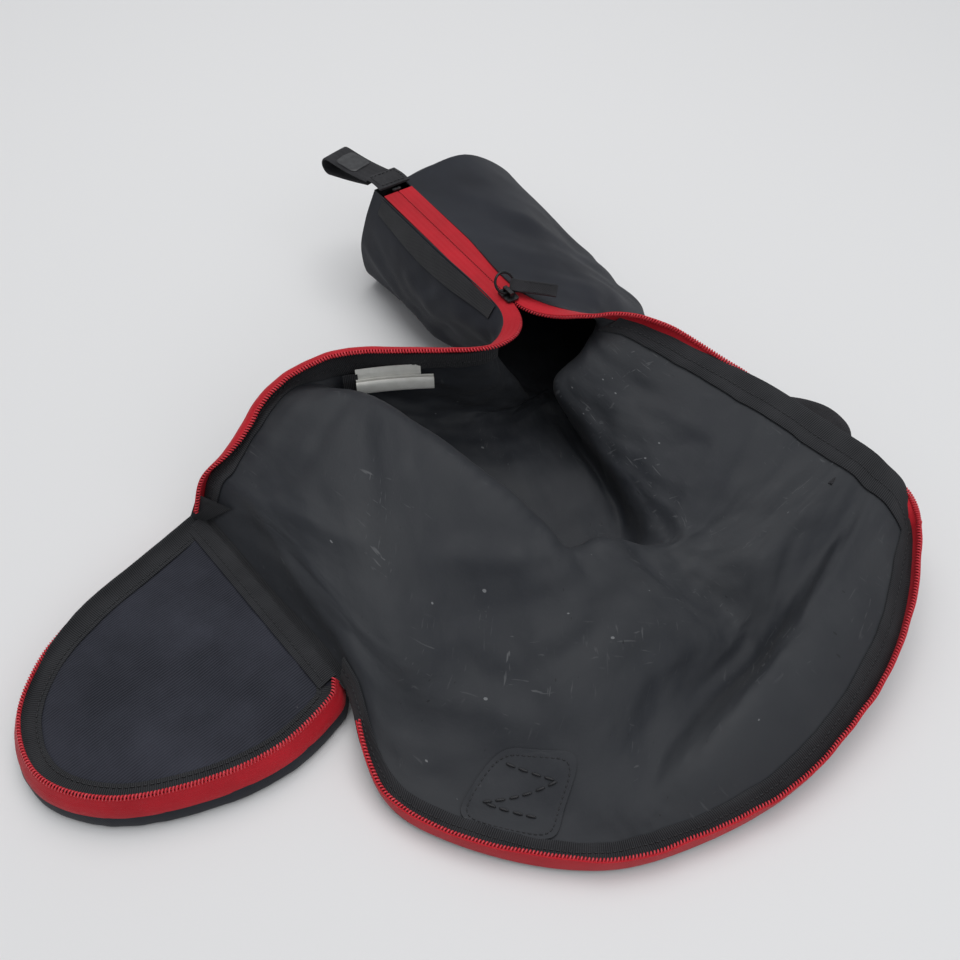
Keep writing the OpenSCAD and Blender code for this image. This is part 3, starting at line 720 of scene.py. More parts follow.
EDGE_OUT = 1.4                       # tapes and bindings start this far outside the panel's edge
TAPE_W = 12.4
TAPE_STEPS = 12
ROLL_EXTRA = 3.5                     # a rolled tape is this much wider, and a gathered one this much narrower
GATHERED = 5.0
ROLLED_TO = math.radians(8)
FALLEN_BY = math.radians(128)
LINE_EASE = 14                       # rounds of smoothing along an edge, and of the tape's turning
TURN_EASE = 12
PITCH = 2.1                          # from one tooth of the coil to the next
WIRE_R = 0.55
BINDING_W = 14.0
# How far the tape rolls over towards the inside at each station of the left edge.
LEFT_ROLL = [0, 0.15, 0.6, 0.9, 1, 1, 1, 0.8, 0.3, 0, 0, 0]
# Where the right tape falls back outside instead of standing, station by station.
RIGHT_FALL = [0, 0.8, 1, 1, 1, 1, 1, 0.3, 0, 0, 0, 0]
# How far the right binding stands past the panel's edge, station by station.
RIGHT_RISE = [6.5, 9.5, 9, 9, 9, 9, 8.5, 5.5, 4.5, 4]


def on_shell(u, v, out=0.0):
    """Points of the fine shell at station u and place across v, moved out of the bag by out."""
    u, v = np.broadcast_arrays(np.asarray(u, float), np.asarray(v, float))
    a = np.clip(u / LAST * (NU - 1), 0, NU - 1.001)
    b = np.clip(v / RIM * (NV - 1), 0, NV - 1.001)
    i, j = a.astype(int), b.astype(int)
    f, g = (a - i)[..., None], (b - j)[..., None]

    def mixed(q):
        return (q[i, j] * (1 - f) * (1 - g) + q[i + 1, j] * f * (1 - g)
                + q[i, j + 1] * (1 - f) * g + q[i + 1, j + 1] * f * g)
    return mixed(inner_face) + np.asarray(out, float)[..., None] * unit(mixed(normals))


open_us = np.linspace(0.1, SLIDER_AT, 240)
right_us = np.linspace(0.04, SLIDER_AT, 240)
mouth_vs = np.linspace(HINGE_END + 0.42, RIM, 260)
closed_a = np.arange(4.0, CLOSED_LEN, 4.0)
no_tilt = np.zeros(len(closed_a))
closed_z = no_tilt + ZIP_Z

left_line = np.concatenate([at_places(inner_face[:, 0], us, open_us),
                            zip_point(closed_a, no_tilt - ZIP_HALF, closed_z)])
left_tilt = np.concatenate([along(LEFT_TILT, open_us), no_tilt])
left_roll = np.concatenate([along(LEFT_ROLL, open_us), no_tilt])
right_line = np.concatenate([at_places(inner_face[0], vs, mouth_vs),
                             at_places(inner_face[:, -1], us, right_us),
                             zip_point(closed_a, no_tilt + ZIP_HALF, closed_z)])
right_tilt = np.concatenate([along(MOUTH_TILT, mouth_vs - HINGE_END), along(RIGHT_TILT, right_us), no_tilt])
right_roll = np.concatenate([np.zeros(len(mouth_vs)), -along(RIGHT_FALL, right_us), no_tilt])


def coil(name, node, body, c, d, w):
    """A coil of teeth along the line c: d points across the tape, w out of it."""
    s, (c, d, w) = resample(c, PITCH / 9, d, w)
    a = 2 * math.pi * s / PITCH
    line = c + 1.55 * np.cos(a)[:, None] * unit(d) + 1.0 * np.sin(a)[:, None] * unit(w)
    t = tangents(line)
    side = unit(np.cross(t, tangents(c)))
    other = np.cross(t, side)
    k = np.arange(5) * 2 * math.pi / 5
    rings = line[:, None] + WIRE_R * (np.cos(k)[None, :, None] * side[:, None]
                                      + np.sin(k)[None, :, None] * other[:, None])
    place(sweep(name, rings, [TEETH], sharp=None), "red_coil", body, node)


class Edge:
    """One sewn edge of the zip, with its tape's section at each place along it."""

    def __init__(self, line, tilt, roll, inside, seed):
        s, (p, tilt, roll) = resample(line, 2.5, tilt, roll)
        p, tilt, roll = eased(p, LINE_EASE), eased(tilt, TURN_EASE), eased(roll, TURN_EASE)
        self.roll = np.maximum(roll, 0)[:, None]
        t = tangents(p)
        h = inside * unit(np.cross(t, UP))
        up = unit(UP - t * t[:, 2:3])
        tilt = np.radians(tilt + 3.0 * noise1(s, 90, seed) * (tilt > 20))
        here = p - EDGE_OUT * np.sin(tilt)[:, None] * h
        # wider where it rolls over, and gathered where it turns from standing to fallen
        wide = TAPE_W + ROLL_EXTRA * np.maximum(roll, 0) - GATHERED * np.sin(math.pi * np.clip(-roll, 0, 1))
        over = np.where(roll > 0, roll * (tilt - ROLLED_TO), roll * FALLEN_BY)
        self.mid, self.w = [], []
        for k in range(TAPE_STEPS + 1):
            part = k / TAPE_STEPS
            share = np.where(roll > 0, np.clip((part - 0.3) / 0.7, 0, 1), np.clip(part / 0.4, 0, 1))
            a = tilt - over * share + math.radians(7) * (1 - 2 * k / TAPE_STEPS) * (tilt > 0.35)
            self.d = np.cos(a)[:, None] * h + np.sin(a)[:, None] * up
            self.w.append(unit(np.cross(t, self.d)) * inside)
            self.mid.append(here if k == 0 else self.mid[-1] + self.d * (wide / TAPE_STEPS)[:, None])
        self.mid = np.stack(self.mid, axis=1)
        self.w = np.stack(self.w, axis=1)

    def tape(self, name, node):
        faces = (self.mid + 0.4 * self.w, self.mid - 0.4 * self.w)
        sheet(name, faces, self.mid, [TAPE], "red_tape", "shell", node)

    def coil(self, name, node):
        # a rolled tape shows its teeth past its edge
        c = self.mid[:, -1] + (1.3 * self.roll - 0.7) * self.d + (1.45 - 0.7 * self.roll) * self.w[:, -1]
        coil(name, node, "shell", c, self.d, self.w[:, -1])


left_edge = Edge(left_line, left_tilt, left_roll, 1, 21)
right_edge = Edge(right_line, right_tilt, right_roll, -1, 22)
left_edge.tape("left_tape", "zip_tape_left")
right_edge.tape("right_tape", "zip_tape_right")
left_edge.coil("left_teeth", "zip_coil_left")
right_edge.coil("right_teeth", "zip_coil_right")

# A stitch's cross-sections: the share of its length, its share of the radius, and its lift.
STITCH_SECTIONS = ((0.0, 0.45, -0.25), (0.18, 0.95, 0.05), (0.5, 1.1, 0.2), (0.82, 0.95, 0.05),
                   (1.0, 0.45, -0.25))
STITCH_SIDES = 6


def stitch_row(name, line, out, body, *nodes, gap=1.1, length=2.6, radius=0.42):
    """A row of stitches along a line of points; out is the direction that they stand up in."""
    s, (p, out) = resample(line, 0.4, out)
    verts, faces = [], []
    for a in np.arange(0.5, s[-1] - length, length + gap):
        i, j = np.searchsorted(s, a), min(len(s) - 1, np.searchsorted(s, a + length))
        up = unit(out[i])
        side = unit(np.cross(unit(p[j] - p[i]), up))
        first = len(verts)
        for share, wide, lift in STITCH_SECTIONS:
            c = p[i] + (p[j] - p[i]) * share + up * radius * (0.6 + lift)
            for q in np.arange(STITCH_SIDES) * 2 * math.pi / STITCH_SIDES:
                verts.append(c + radius * wide * (math.cos(q) * side + math.sin(q) * up))
        for ring in range(first, len(verts) - STITCH_SIDES, STITCH_SIDES):
            for q in range(STITCH_SIDES):
                x, y = ring + q, ring + (q + 1) % STITCH_SIDES
                faces.append((x, y, y + STITCH_SIDES, x + STITCH_SIDES))
        faces.append(tuple(range(first, first + STITCH_SIDES))[::-1])
        faces.append(tuple(range(len(verts) - STITCH_SIDES, len(verts))))
    verts = np.array(verts)
    place(mesh_object(name, verts, faces, [THREAD], None, verts * MM, None), "thread", body, *nodes)


# ---------------------------------------------------------------- bindings

def strip_on(rows, norms, dists):
    """Points and outward normals at given distances along each row, from its first point."""
    p, q = [], []
    for row, norm, dist in zip(rows, norms, dists):
        arc = arc_length(row)
        p.append(at_places(row, arc, dist) + np.minimum(dist, 0)[:, None] * unit(row[2] - row[0]))
        q.append(at_places(norm, arc, dist))
    return np.stack(p), unit(np.stack(q))


def binding(name, node, rows, norms, seed, wavy, rise=0.0):
    """Grosgrain sewn over a raw edge: it starts on the edge and lies on the inner face."""
    arc = arc_length(rows[:, 0])
    rise = np.broadcast_to(np.asarray(rise, float), (len(rows),))
    share = np.linspace(0, 1, 11)
    wide = BINDING_W * (1 + 0.05 * noise1(arc, 70, seed + 1))
    dists = -EDGE_OUT - rise[:, None] + share[None] * (wide + EDGE_OUT + rise)[:, None]
    p, q = strip_on(rows, norms, dists)
    # a rolled edge, a stitched channel and a thin far edge
    lift = np.interp(share, [0, 0.08, 0.3, 0.55, 0.62, 0.7, 0.92, 1],
                     [0.2, 1.0, 1.5, 1.2, 0.75, 1.1, 1.2, 0.5])
    wave = wavy * (noise1(arc, 34, seed) * 0.7 + noise1(arc, 12, seed + 5) * 0.35)
    off = 0.35 + lift[None] + np.maximum(-0.25, wave[:, None] * np.sin(share * math.pi)[None] ** 0.5)
    inner = p - q * (off + 0.7)[..., None]
    outer = p - q * (off - 0.2)[..., None]
    inner[..., 2] = np.maximum(inner[..., 2], 1.0)
    sheet(name, (inner, outer), p, [BINDING], "black_binding", "shell", node)
    stitch_row(name + "_stitches", inner[:, 6], -q[:, 6], "shell")


mouth_cols = slice(column(2.02), column(8.98) + 1, 2)
mouth_rise = (5.0 * np.clip((2.75 - vs[mouth_cols]) / 0.3, 0, 1)
              + 6.0 * np.clip((vs[mouth_cols] - 8.2) / 0.7, 0, 1))
binding("mouth_strip", "mouth_binding", inner_face[:40, mouth_cols].transpose(1, 0, 2),
        normals[:40, mouth_cols].transpose(1, 0, 2), 31, 0.8, mouth_rise)
slit_end = int(8.3 / LAST * (NU - 1))
left_rows, right_rows = slice(3, slit_end, 2), slice(0, slit_end, 2)
binding("left_strip", "slit_binding_left", inner_face[left_rows, :30], normals[left_rows, :30], 41, 0.5)
binding("right_strip", "slit_binding_right", inner_face[right_rows, :-31:-1],
        normals[right_rows, :-31:-1], 51, 0.45, along(RIGHT_RISE, us[right_rows]))

# ---------------------------------------------------------------- discs on a square grid

def disc_grid(ring, n, centre):
    """A grid of n by n cells whose border follows the closed ring and whose middle is the centre."""
    closed = np.concatenate([ring, ring[:1]])
    arc = arc_length(closed)
    x, y = np.meshgrid(np.linspace(-1, 1, n + 1), np.linspace(-1, 1, n + 1), indexing="ij")
    r = np.maximum(np.abs(x), np.abs(y))
    safe = np.maximum(r, 1e-9)
    a, b = x / safe, y / safe
    f = np.where(b <= -1 + 1e-9, (a + 1) / 2, np.where(a >= 1 - 1e-9, 1 + (b + 1) / 2,
                 np.where(b >= 1 - 1e-9, 2 + (1 - a) / 2, 3 + (1 - b) / 2))) / 4
    q = at_places(closed, arc, f * arc[-1])
    p = centre + (q - centre) * r[..., None]
    return smoothed(p, 160, 0.9), r


# ---------------------------------------------------------------- lid

_, (lid_path,) = resample(along(LID_OUTLINE, np.linspace(0, len(LID_OUTLINE) - 1, 260)), 2.5)
lid_s = arc_length(lid_path)
lid_out = unit(np.stack([np.gradient(lid_path[:, 1]), -np.gradient(lid_path[:, 0])], axis=-1))
lid_out *= np.sign(np.sum(lid_out * (lid_path - LID_CENTRE), axis=-1, keepdims=True))

def lid_at(path, z):
    return lid_point(path[..., 0], np.maximum(HINGE_GAP, path[..., 1]), z)


def far_share(s):
    """1 on the lid's far side, where the binding stands over the zip, and 0 elsewhere."""
    return np.clip((150 - s) / 45, 0, 1)


def cloth_faces(section, thick):
    """The two faces of a cloth whose section is a line of (distance, height)."""
    step = np.gradient(section, axis=-2)
    side = np.stack([step[..., 1], -step[..., 0]], axis=-1)
    return [section + unit(side) * t for t in (thick / 2, -thick / 2)]


def lid_wall(name, node, profile, thick, mat, slot, seed, wave, far_profile=None):
    """A band round the zipped part of the lid, through a profile of (distance out, height)."""
    places = np.linspace(0, len(profile) - 1, BAND_STEPS)
    share = far_share(lid_s)[:, None, None] * (far_profile is not None)
    prof = along(profile, places)[None] * (1 - share) + along(far_profile or profile, places)[None] * share
    sway = (wave * noise1(lid_s, 42, seed)[:, None]
            * np.sin(np.linspace(0.35, math.pi - 0.35, BAND_STEPS))[None])
    faces = [lid_at(lid_path[:, None] + lid_out[:, None] * (f[..., 0] + sway)[..., None], f[..., 1])
             for f in cloth_faces(prof, thick)]
    sheet(name, faces, faces[0], [mat], slot, "lid", node, rests_on="lid panels")


lid_wall("lid_side", "lid_gusset", [[4.2, 0.9], [5.4, 2.6], [5.7, 7], [5.2, 11], [4.3, 14.2]], 1.1, OUTER,
         "black_twill", 61, 0.35)
lid_wall("lid_tape", "zip_tape_lid", [[4.9, 12.9], [4.3, 16.5], [2.9, 20], [1.3, 23.2], [-0.2, 26.2]], 0.9,
         TAPE, "red_tape", 62, 0.3, [[4.9, 12.9], [5.6, 15.4], [5.8, 17.6], [5.2, 19.6], [3.6, 21.2]])
lid_wall("lid_strip", "lid_rim_binding", [[-1.6, 25.6], [-2.6, 23], [-4.4, 21.2], [-8, 20.8], [-12.5, 20.7]],
         0.9, BINDING, "black_binding", 63, 0.4,
         [[1.2, 27.6], [0.2, 27.2], [-2.4, 23.6], [-7, 21.4], [-12.5, 20.7]])
lid_in = -lid_out[:, :1] * HINGE_DIR - lid_out[:, 1:] * LID_DIR
far_side = far_share(lid_s)[:, None]
coil("lid_teeth", "zip_coil_lid", "lid",
     lid_at(lid_path - lid_out * (1.0 - 4.4 * far_side), 27.0 - 6.2 * far_side[:, 0]),
     unit(UP * 0.9 + lid_in * 0.35), unit(lid_in - UP * 0.35))
stitch_row("lid_strip_stitches", lid_at(lid_path - lid_out * 9.8, np.full(len(lid_path), 21.35)),
           np.broadcast_to(UP, (len(lid_path), 3)), "lid")

lid_ring = np.concatenate([lid_path, np.linspace(lid_path[-1], lid_path[0], 60)[1:-1]])


def lid_shrunk(d):
    w = lid_ring - LID_CENTRE
    return LID_CENTRE + w * (1 - d / np.linalg.norm(w, axis=-1, keepdims=True))


def flat_coords(p):
    """Cloth coordinates in metres of a flat grid of points."""
    return np.concatenate([p, np.zeros(p.shape[:2] + (1,))], axis=-1) * MM


def lid_disc(name, node, inset, top, bottom, mat, slot, n):
    """A round panel of the lid between two height functions of place and of closeness to the rim."""
    flat, r = disc_grid(lid_shrunk(inset), n, LID_CENTRE)
    upper, lower = lid_at(flat, top(flat, r)), lid_at(flat, bottom(flat, r))
    return place(slab(name, upper, lower, [mat], flat_coords(flat)), slot, "lid", node)


def lining_top(q, r):
    """The lining's height: crowned, with a hollow, and gathered near the hinge."""
    s, t = q[..., 0], q[..., 1]
    crown = 18.9 + 2.6 * (1 - r ** 3)
    hollow = 3.0 * np.exp(-((s - 122) ** 2 + (t - 78) ** 2) / 24 ** 2)
    swell = 0.9 * np.exp(-((s - 70) ** 2 + (t - 95) ** 2) / 30 ** 2)
    near = np.exp(-np.maximum(t - 8, 0) / 15)
    folds = near * (0.7 * np.sin(s / 5.2 + 0.05 * t) + 0.5 * np.sin(s / 3.1 + 1.3 - 0.07 * t))
    long = 0.35 * np.sin((s * 0.35 + t) / 11.0) + 0.22 * np.sin((s - 0.6 * t) / 7.0 + 0.8)
    return crown - hollow + swell + 3.2 * near * np.exp(-((t - 2) / 17) ** 2) + (folds + long) * (1 - r ** 6)


lining = lid_disc("lid_lining_sheet", "lid_lining", 2.2, lining_top, lambda q, r: lining_top(q, r) - 0.8,
                  LINING, "black_twill", 110)
bottom_panel = lid_disc("lid_bottom", "lid_outer_panel", -4.6, lambda q, r: 1.5 + 0.4 * r ** 8,
                        lambda q, r: 0.02 + 0.9 * r ** 24, OUTER, "black_twill", 60)
foam = lid_disc("lid_foam", "lid_pad", 4.0, lambda q, r: lining_top(q, r) - 1.2 - 6 * r ** 10,
                lambda q, r: 2.0 + 2 * r ** 12, RUBBER, "foam", 50)

# The wall under the hinge, the strip over its seam, and the soft web that joins lid and shell.
HINGE_SPAN = np.linspace(3, 167, 84)


def hinge_band(name, section, mat, slot, wave, seed, *nodes):
    """A strip along the hinge through a section of (distance from the hinge, height)."""
    sec = along(section, np.linspace(0, len(section) - 1, BAND_STEPS))
    sway = wave * noise1(HINGE_SPAN, 30, seed)[:, None] * np.sin(np.linspace(0.2, 2.9, BAND_STEPS))[None]
    faces = [lid_point(*np.broadcast_arrays(HINGE_SPAN[:, None], f[None, :, 0], f[None, :, 1] + sway))
             for f in cloth_faces(sec, 0.9)[::-1]]
    sheet(name, faces, faces[0], [mat], slot, "lid", *nodes, rests_on="lid_foam")
    return faces[0]


hinge_band("lid_hinge_wall", [[2.6, 1.2], [2.2, 8], [2.2, 15], [2.4, 22.4]], OUTER, "black_twill", 0.0, 71)
hinge_top = hinge_band("hinge_strip", [[1.8, 24.0], [5, 24.6], [9, 23.8], [15, 22.0]], BINDING,
                       "black_binding", 0.45, 72, "hinge_binding")
stitch_row("hinge_strip_stitches", hinge_top[:, 6], np.broadcast_to(UP, (len(HINGE_SPAN), 3)), "lid")


def joining_sheet(name, middle):
    """A thin grosgrain sheet that crosses the lid's hinge, baked where it stands and carried by no body."""
    piece = sheet(name, (middle + 0.4 * UP, middle - 0.4 * UP), middle, [BINDING], "black_binding", None)
    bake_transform(piece)


web_shell = on_shell(0.0, np.linspace(0.0, 2.1, 80), 0.4)
web_lid = lid_point((web_shell - HINGE_FROM) @ HINGE_DIR, np.full(80, 3.4), np.full(80, 23.4))
across = np.linspace(0, 1, 9)[None, :, None]
web = web_shell[:, None] * (1 - across) + web_lid[:, None] * across - UP * 3.0 * np.sin(across * math.pi)
joining_sheet("hinge_web", web)

# Gathered cloth that closes the corner between the left tape, the shell and the lid.
high_a = left_edge.mid[5, -3]
far_a = on_shell(0.75, 0.38, -1.6)
high_b = lid_at(lid_path[2] + lid_out[2] * 1.0, 26.5)
low_b = lid_at(lid_path[0] - lid_out[0] * 7.0, 23.6)
fold_u, fold_v = np.meshgrid(np.linspace(0, 1, 22), np.linspace(0, 1, 22), indexing="ij")
fold = (((1 - fold_u) * (1 - fold_v))[..., None] * low_b + ((1 - fold_u) * fold_v)[..., None] * high_b
        + (fold_u * (1 - fold_v))[..., None] * far_a + (fold_u * fold_v)[..., None] * high_a)
puff = np.sin(math.pi * fold_u) * np.sin(math.pi * fold_v) * (2.2 + 1.0 * np.sin(9 * fold_u + 4 * fold_v))
joining_sheet("corner_fold", fold + puff[..., None] * unit(UP - 0.6 * LID_DIR))

# ---------------------------------------------------------------- patch and its heavy stitches

PATCH_AT = np.array([1.0, 4.45])
patch_ring = rounded_box(PATCH_AT, (0.58, 0.46), 0.4, 120)
patch_uv, patch_r = disc_grid(patch_ring, 44, PATCH_AT)
patch_u, patch_v = patch_uv[..., 0], patch_uv[..., 1]
hem = 0.5 * np.exp(-((patch_r - 0.9) / 0.05) ** 2)
sheet("mouth_patch", (on_shell(patch_u, patch_v, -1.5 + hem * 0.5 - 0.5 * (1 - patch_r ** 12)),
                      on_shell(patch_u, patch_v, -0.3)), on_shell(patch_u, patch_v), [COATED],
      "coated_fabric", "shell", "reinforcement_patch", held="laid", rests_on="base_sheet")


def patch_stitches(name, uv, out, *nodes, **sizes):
    """A row of stitches on the patch, through places (station, across)."""
    line = on_shell(uv[:, 0], uv[:, 1], out)
    up = unit(on_shell(uv[:, 0], uv[:, 1], -3.0) - line)
    stitch_row(name, line, up, "shell", *nodes, **sizes)


zigzag = [[[1.40, 4.15], [1.30, 4.74]], [[1.30, 4.74], [0.86, 4.16]], [[0.86, 4.16], [0.80, 4.72]]]
patch_stitches("patch_stitches", np.concatenate([np.linspace(a, b, 30)[:-1] for a, b in zigzag]), -2.3,
               "patch_stitching", gap=2.2, length=6.0, radius=0.75)
hem_uv = PATCH_AT + (patch_ring - PATCH_AT) * 0.88
patch_stitches("patch_edge_stitches", np.concatenate([hem_uv, hem_uv[:1]]), -1.9, gap=1.2, length=2.2,
               radius=0.28)

# ---------------------------------------------------------------- narrow end, facing, tab

end_ring = inner_face[-1] + 0.6 * normals[-1]
end_centre = zip_point(248.0, 68.0, 56.0)
end_disc, end_r = disc_grid(np.concatenate([end_ring[::3], end_ring[-1:]]), 44, end_centre)
bulge = 0.3 + 9 * (1 - end_r ** 2) + 1.2 * np.sin(end_disc[..., 2] / 9.0) * (1 - end_r ** 4)
bulge = bulge[..., None] * ZIP_DIR
sheet("narrow_end", (end_disc + bulge, end_disc + bulge + 1.0 * ZIP_DIR), end_disc, [OUTER], "black_twill",
      "shell", "narrow_end_panel")

facing_at = np.meshgrid(np.linspace(9.1, 10.85, 60), np.linspace(0.04, 0.44, 9), indexing="ij")
sheet("zip_side_strip", (on_shell(*facing_at, PANEL_T + 0.2), on_shell(*facing_at, PANEL_T + 1.0)),
      on_shell(*facing_at), [BINDING], "black_twill", "shell", "zip_facing")


def turn(axis, deg):
    """The matrix that turns a point by an angle about an axis."""
    c, s = math.cos(math.radians(deg)), math.sin(math.radians(deg))
    return {"x": np.array([[1, 0, 0], [0, c, -s], [0, s, c]]),
            "y": np.array([[c, 0, s], [0, 1, 0], [-s, 0, c]]),
            "z": np.array([[c, -s, 0], [s, c, 0], [0, 0, 1]])}[axis]


def strap(name, path, width, axis, thick, body, slot, *nodes, edge=0.35):
    """Flat webbing along a path of points: axis is the direction across it, in the same frame."""
    s, (path, across) = resample(path, 1.5, np.array(np.broadcast_to(axis, path.shape)))
    n = unit(np.cross(tangents(path), across))
    across = unit(np.cross(n, tangents(path)))
    x = np.array([-1, -1, -0.94, -0.5, 0, 0.5, 0.94, 1, 1, 0.94, 0.5, 0, -0.5, -0.94]) * width / 2
    z = np.array([-edge, edge, 0.9, 1, 1, 1, 0.9, edge, -edge, -0.9, -1, -1, -1, -0.9]) * thick / 2
    rings = path[:, None] + across[:, None] * x[None, :, None] + n[:, None] * z[None, :, None]
    coords = np.stack(np.broadcast_arrays(s[:, None], x[None], 0.0), axis=-1) * MM
    place(sweep(name, rings, [WEBBING], coords), slot, body, *nodes)


def tab_height(y):
    """The end tab's own bend along its length."""
    return 0.4 * np.sin(y / 5) - 0.0035 * y ** 2


at_zip = turn("z", math.degrees(ZIP_TURN))
tab_y = np.linspace(0, 24, 13)
tab_path = np.stack([0 * tab_y, tab_y, 0.9 + tab_height(tab_y)], axis=-1) @ at_zip.T
strap("zip_tab", tab_path + zip_point(CLOSED_LEN + 1.0, 0.0, 110.6), 28.0, at_zip[:, 0], 1.8, "shell",
      "black_webbing", "zip_end_tab")
box = np.array([[-11, 3], [11, 3], [11, 21], [-11, 21], [-11, 3]])
box = np.concatenate([np.linspace(a, b, 12)[:-1] for a, b in zip(box[:-1], box[1:])])
box = np.stack([box[:, 0], box[:, 1], 2.0 + tab_height(box[:, 1])], -1) @ at_zip.T
stitch_row("zip_tab_stitches", box + zip_point(CLOSED_LEN + 1.0, 0.0, 110.5),
           np.broadcast_to(UP, box.shape), "shell")

# ---------------------------------------------------------------- pull, loop and labels

RING_LEAN = math.radians(48)
RING_AT = zip_point(9.5, 0.0, 112.2) + 7.6 * (math.cos(RING_LEAN) * ZIP_DIR + math.sin(RING_LEAN) * UP)
pull_turn = at_zip @ turn("x", 48) @ turn("z", -35)
pull_from = RING_AT + pull_turn @ np.array([7.6, 0, 0])
pull_turn = pull_turn @ turn("y", -41)
bend = np.radians(np.linspace(60, 300, 21))
sleeve = np.stack([2.5 * np.cos(bend), 0 * bend, 2.5 * np.sin(bend)], axis=-1)
top = np.stack([np.linspace(5, 32, 20), np.zeros(20), np.linspace(0.95, 0.85, 20)], axis=-1)


def pull_points(p):
    """Points of the pull in the row's frame, sagging towards its free end."""
    p = p - UP * (0.0035 * np.maximum(p[:, :1] - 4, 0) ** 2)
    return p @ pull_turn.T + pull_from


strap("pull_tab", pull_points(np.concatenate([top[::-1], sleeve, top * np.array([1, 1, -1])])), 9.0,
      pull_turn[:, 1], 1.3, "pull", "black_webbing", "pull_strap")
for letter, side in (("a", -3.4), ("b", 3.4)):
    line = np.stack([np.linspace(7, 31, 20), np.full(20, side), np.full(20, 1.6)], axis=-1)
    stitch_row(f"pull_stitches_{letter}", pull_points(line), np.broadcast_to(pull_turn[:, 2], line.shape),
               "pull", radius=0.22)

LOOP_FROM = zip_point(CLOSED_LEN + 28.0, -1.0, 104.0)
LOOP_R = 6.9
LOOP_MID = 58 - 7.8                  # from the sewn end to the middle of the loop's far bend
loop_turn = turn("z", math.degrees(ZIP_TURN) + 90 + 14) @ turn("y", 7) @ turn("x", 90)
lean = math.asin((LOOP_R - 1.2) / LOOP_MID)
bend = np.linspace(math.pi / 2 + lean, -math.pi / 2 - lean, 36)
arc = np.stack([LOOP_MID + LOOP_R * np.cos(bend), LOOP_R * np.sin(bend), 0 * bend], axis=-1)
leg = np.linspace([0.5, 1.15, 0], arc[0], 24)[:-1]
sagging = 1.2 * np.sin(np.linspace(0, math.pi, 23))[:, None] * np.array([0, -1, 0])
loop_path = np.concatenate([leg + sagging, arc, (leg * np.array([1, -1, 1]))[::-1] + sagging[::-1] * 0.4])
strap("carry_strap", loop_path @ loop_turn.T + LOOP_FROM, 25.0, loop_turn[:, 2], 1.8, "loop", "black_webbing",
      "carry_loop")
tag, tag_r = disc_grid(rounded_box((30, 0), (12, 10), 0.35, 96), 30, np.array([30.0, 0.0]))
tag_y = (np.interp(tag[..., 0], [0, LOOP_MID], [1.15, LOOP_R]) + 0.9
         - 1.2 * np.sin(tag[..., 0] / LOOP_MID * math.pi))
lip = 0.35 * np.exp(-((tag_r - 0.9) / 0.05) ** 2)


def tag_point(out):
    """The tag's face at a distance out of the loop."""
    return np.stack([tag[..., 0], tag_y + out, tag[..., 1]], axis=-1) @ loop_turn.T + LOOP_FROM


place(slab("loop_tag", tag_point(1.1 + lip - 0.4 * tag_r ** 20), tag_point(0.05), [RUBBER], flat_coords(tag)),
      "rubber_patch", "loop", "loop_patch")

LABEL_AT = np.array([-99.0, -6.0, 74.0]) + MIDDLE


def label(name, node, section, length, lean, at, mat, slot):
    """A folded or flat label: its section stands across the wall and runs along it for its length."""
    xs = np.linspace(0, length, 24)
    faces = []
    for face in cloth_faces(along(section, np.linspace(0, len(section) - 1, 40)), 0.44):
        y, z = face.T
        p = np.stack(np.broadcast_arrays(xs[:, None], y[None] + 0.7 * np.sin(xs / length * 3.0)[:, None],
                                         z[None] + 0.5 * np.sin(xs / 17.0)[:, None]), axis=-1)
        faces.append((p @ turn("x", lean).T + np.array(at)) @ turn("z", 7).T + LABEL_AT)
    sheet(name, faces, faces[0], [mat], slot, "shell", node, held="folded", rests_on="left_panel")


label("label_roll", "care_label_folded",
      [[1.2, 11.5], [1.4, 5], [1.0, 0.8], [-0.6, -0.6], [-2.2, 0.8], [-2.6, 5], [-2.2, 9], [-0.9, 10.6],
       [0.2, 9.4], [0.1, 6.5]], 56, 0, (0, 0, -6), LABEL, "label_white")
label("label_leaf", "care_label_flat", [[0.4, 0], [0.7, 3], [0.4, 6], [0.8, 10]], 47, -12, (0, 2.2, 2.6),
      LABEL, "label_white")
label("label_tab", "care_label_tab", [[0, 0], [0.5, 4], [0.4, 9], [0.9, 14.5]], 11, 0, (-9.5, 1.4, -5),
      BINDING, "black_twill")

# ---------------------------------------------------------------- handle, strap under the patch, metal

HANDLE_U = (3.5, 6.1)
HANDLE_REACH = 50
handle_u = np.linspace(*HANDLE_U, 60)
bow = np.sin(math.pi * np.linspace(0, 1, 60)) ** 0.7
edge_dir = unit(on_shell(handle_u, 9.0) - on_shell(handle_u, 8.7))
handle_path = on_shell(handle_u, 8.7, 4.4 + 12 * bow) + (HANDLE_REACH * bow)[:, None] * edge_dir
_, (handle_path, edge_dir) = resample(eased(handle_path, 3), 2.0, edge_dir)
strap("rear_handle", handle_path, 18.0, eased(edge_dir, 8), 1.9, "shell", "black_webbing", "grab_handle")
for letter, u in zip("ab", HANDLE_U):
    end_at = np.meshgrid(np.linspace(u - 0.2, u + 0.2, 12), np.linspace(8.35, 8.95, 12), indexing="ij")
    place(slab(f"handle_end_{letter}", on_shell(*end_at, PANEL_T + 0.1), on_shell(*end_at, PANEL_T + 2.2),
               [WEBBING], arc_coords(on_shell(*end_at))), "black_webbing", "shell", "handle_tabs")

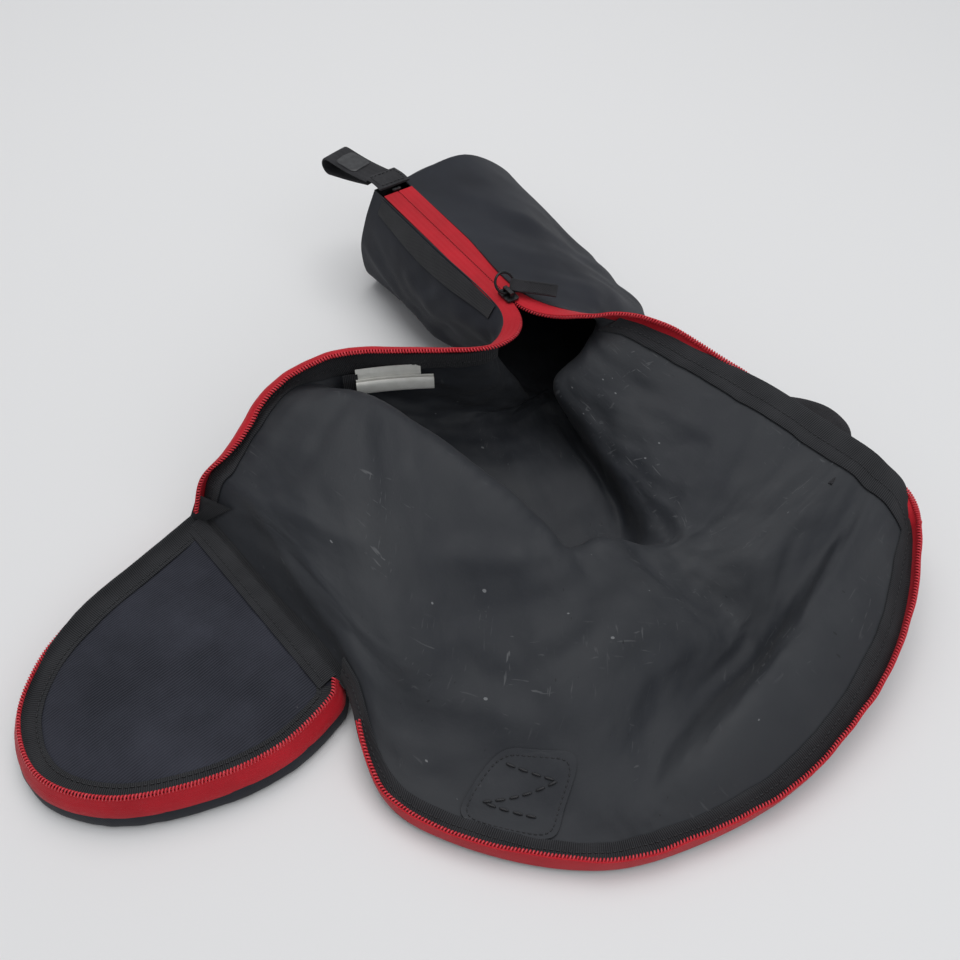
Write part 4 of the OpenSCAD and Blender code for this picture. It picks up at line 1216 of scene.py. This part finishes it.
anchor_turn = turn("z", 20)
anchor_y = np.linspace(-28, 28, 20)
anchor = np.stack([0 * anchor_y, anchor_y, np.full(20, 0.85)], axis=-1) @ anchor_turn.T
strap("patch_strap", anchor + np.array([5.0, -276.0, 0]) + MIDDLE, 38.0, anchor_turn[:, 0], 1.6, "shell",
      "black_webbing", "strap_anchor")

for name in ("slider_body", "pull_ring", "zip_end_stop"):
    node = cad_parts[name]
    node.data.materials.clear()
    node.data.materials.append(METAL)

# ---------------------------------------------------------------- stage, light and camera

FLOOR_SIZE = 80
bpy.ops.mesh.primitive_plane_add(size=FLOOR_SIZE, location=(0, 0, 0))
floor = bpy.context.object
floor.name = "floor"
floor.data.materials.append(floor_material())


def area(name, at, aim, size, power, color):
    """A square area light at a place, aimed at a point."""
    light = bpy.data.lights.new(name, "AREA")
    light.shape = "RECTANGLE"
    light.size = size
    light.size_y = size
    light.energy = power
    light.color = color
    lamp = bpy.data.objects.new(name, light)
    bpy.context.scene.collection.objects.link(lamp)
    lamp.location = at
    lamp.rotation_euler = (Vector(aim) - Vector(at)).to_track_quat("-Z", "Y").to_euler()


area("key", (-0.15, 0.55, 1.6), (0, 0, 0), 1.2, 7, (1.0, 0.995, 0.985))
area("fill", (0.9, -1.1, 1.4), (0, -0.1, 0), 1.6, 7, (0.98, 0.99, 1.0))
sky = bpy.data.lights.new("sky_panel", "SUN")
sky.energy = 0.9
sky.angle = math.radians(50)
sky_lamp = bpy.data.objects.new("sky_panel", sky)
bpy.context.scene.collection.objects.link(sky_lamp)
sky_lamp.rotation_euler = Vector((0.05, 0.25, 1.5)).to_track_quat("Z", "Y").to_euler()
view = bpy.context.scene.view_settings
view.view_transform = "Standard"
view.look = "None"
view.exposure = 0.0
world = bpy.data.worlds.new("studio")
bpy.context.scene.world = world
world.use_nodes = True
background = world.node_tree.nodes["Background"]
background.inputs[0].default_value = (0.95, 0.97, 1.0, 1)
background.inputs[1].default_value = 0.36

cam_data = bpy.data.cameras.new("camera")
cam_data.sensor_width = 36
cam_data.lens = 38.6
cam = bpy.data.objects.new("camera", cam_data)
bpy.context.scene.collection.objects.link(cam)
cam.location = (-0.004, -0.531, 0.600)
cam.rotation_euler = (math.radians(40), 0, 0)
bpy.context.scene.camera = cam
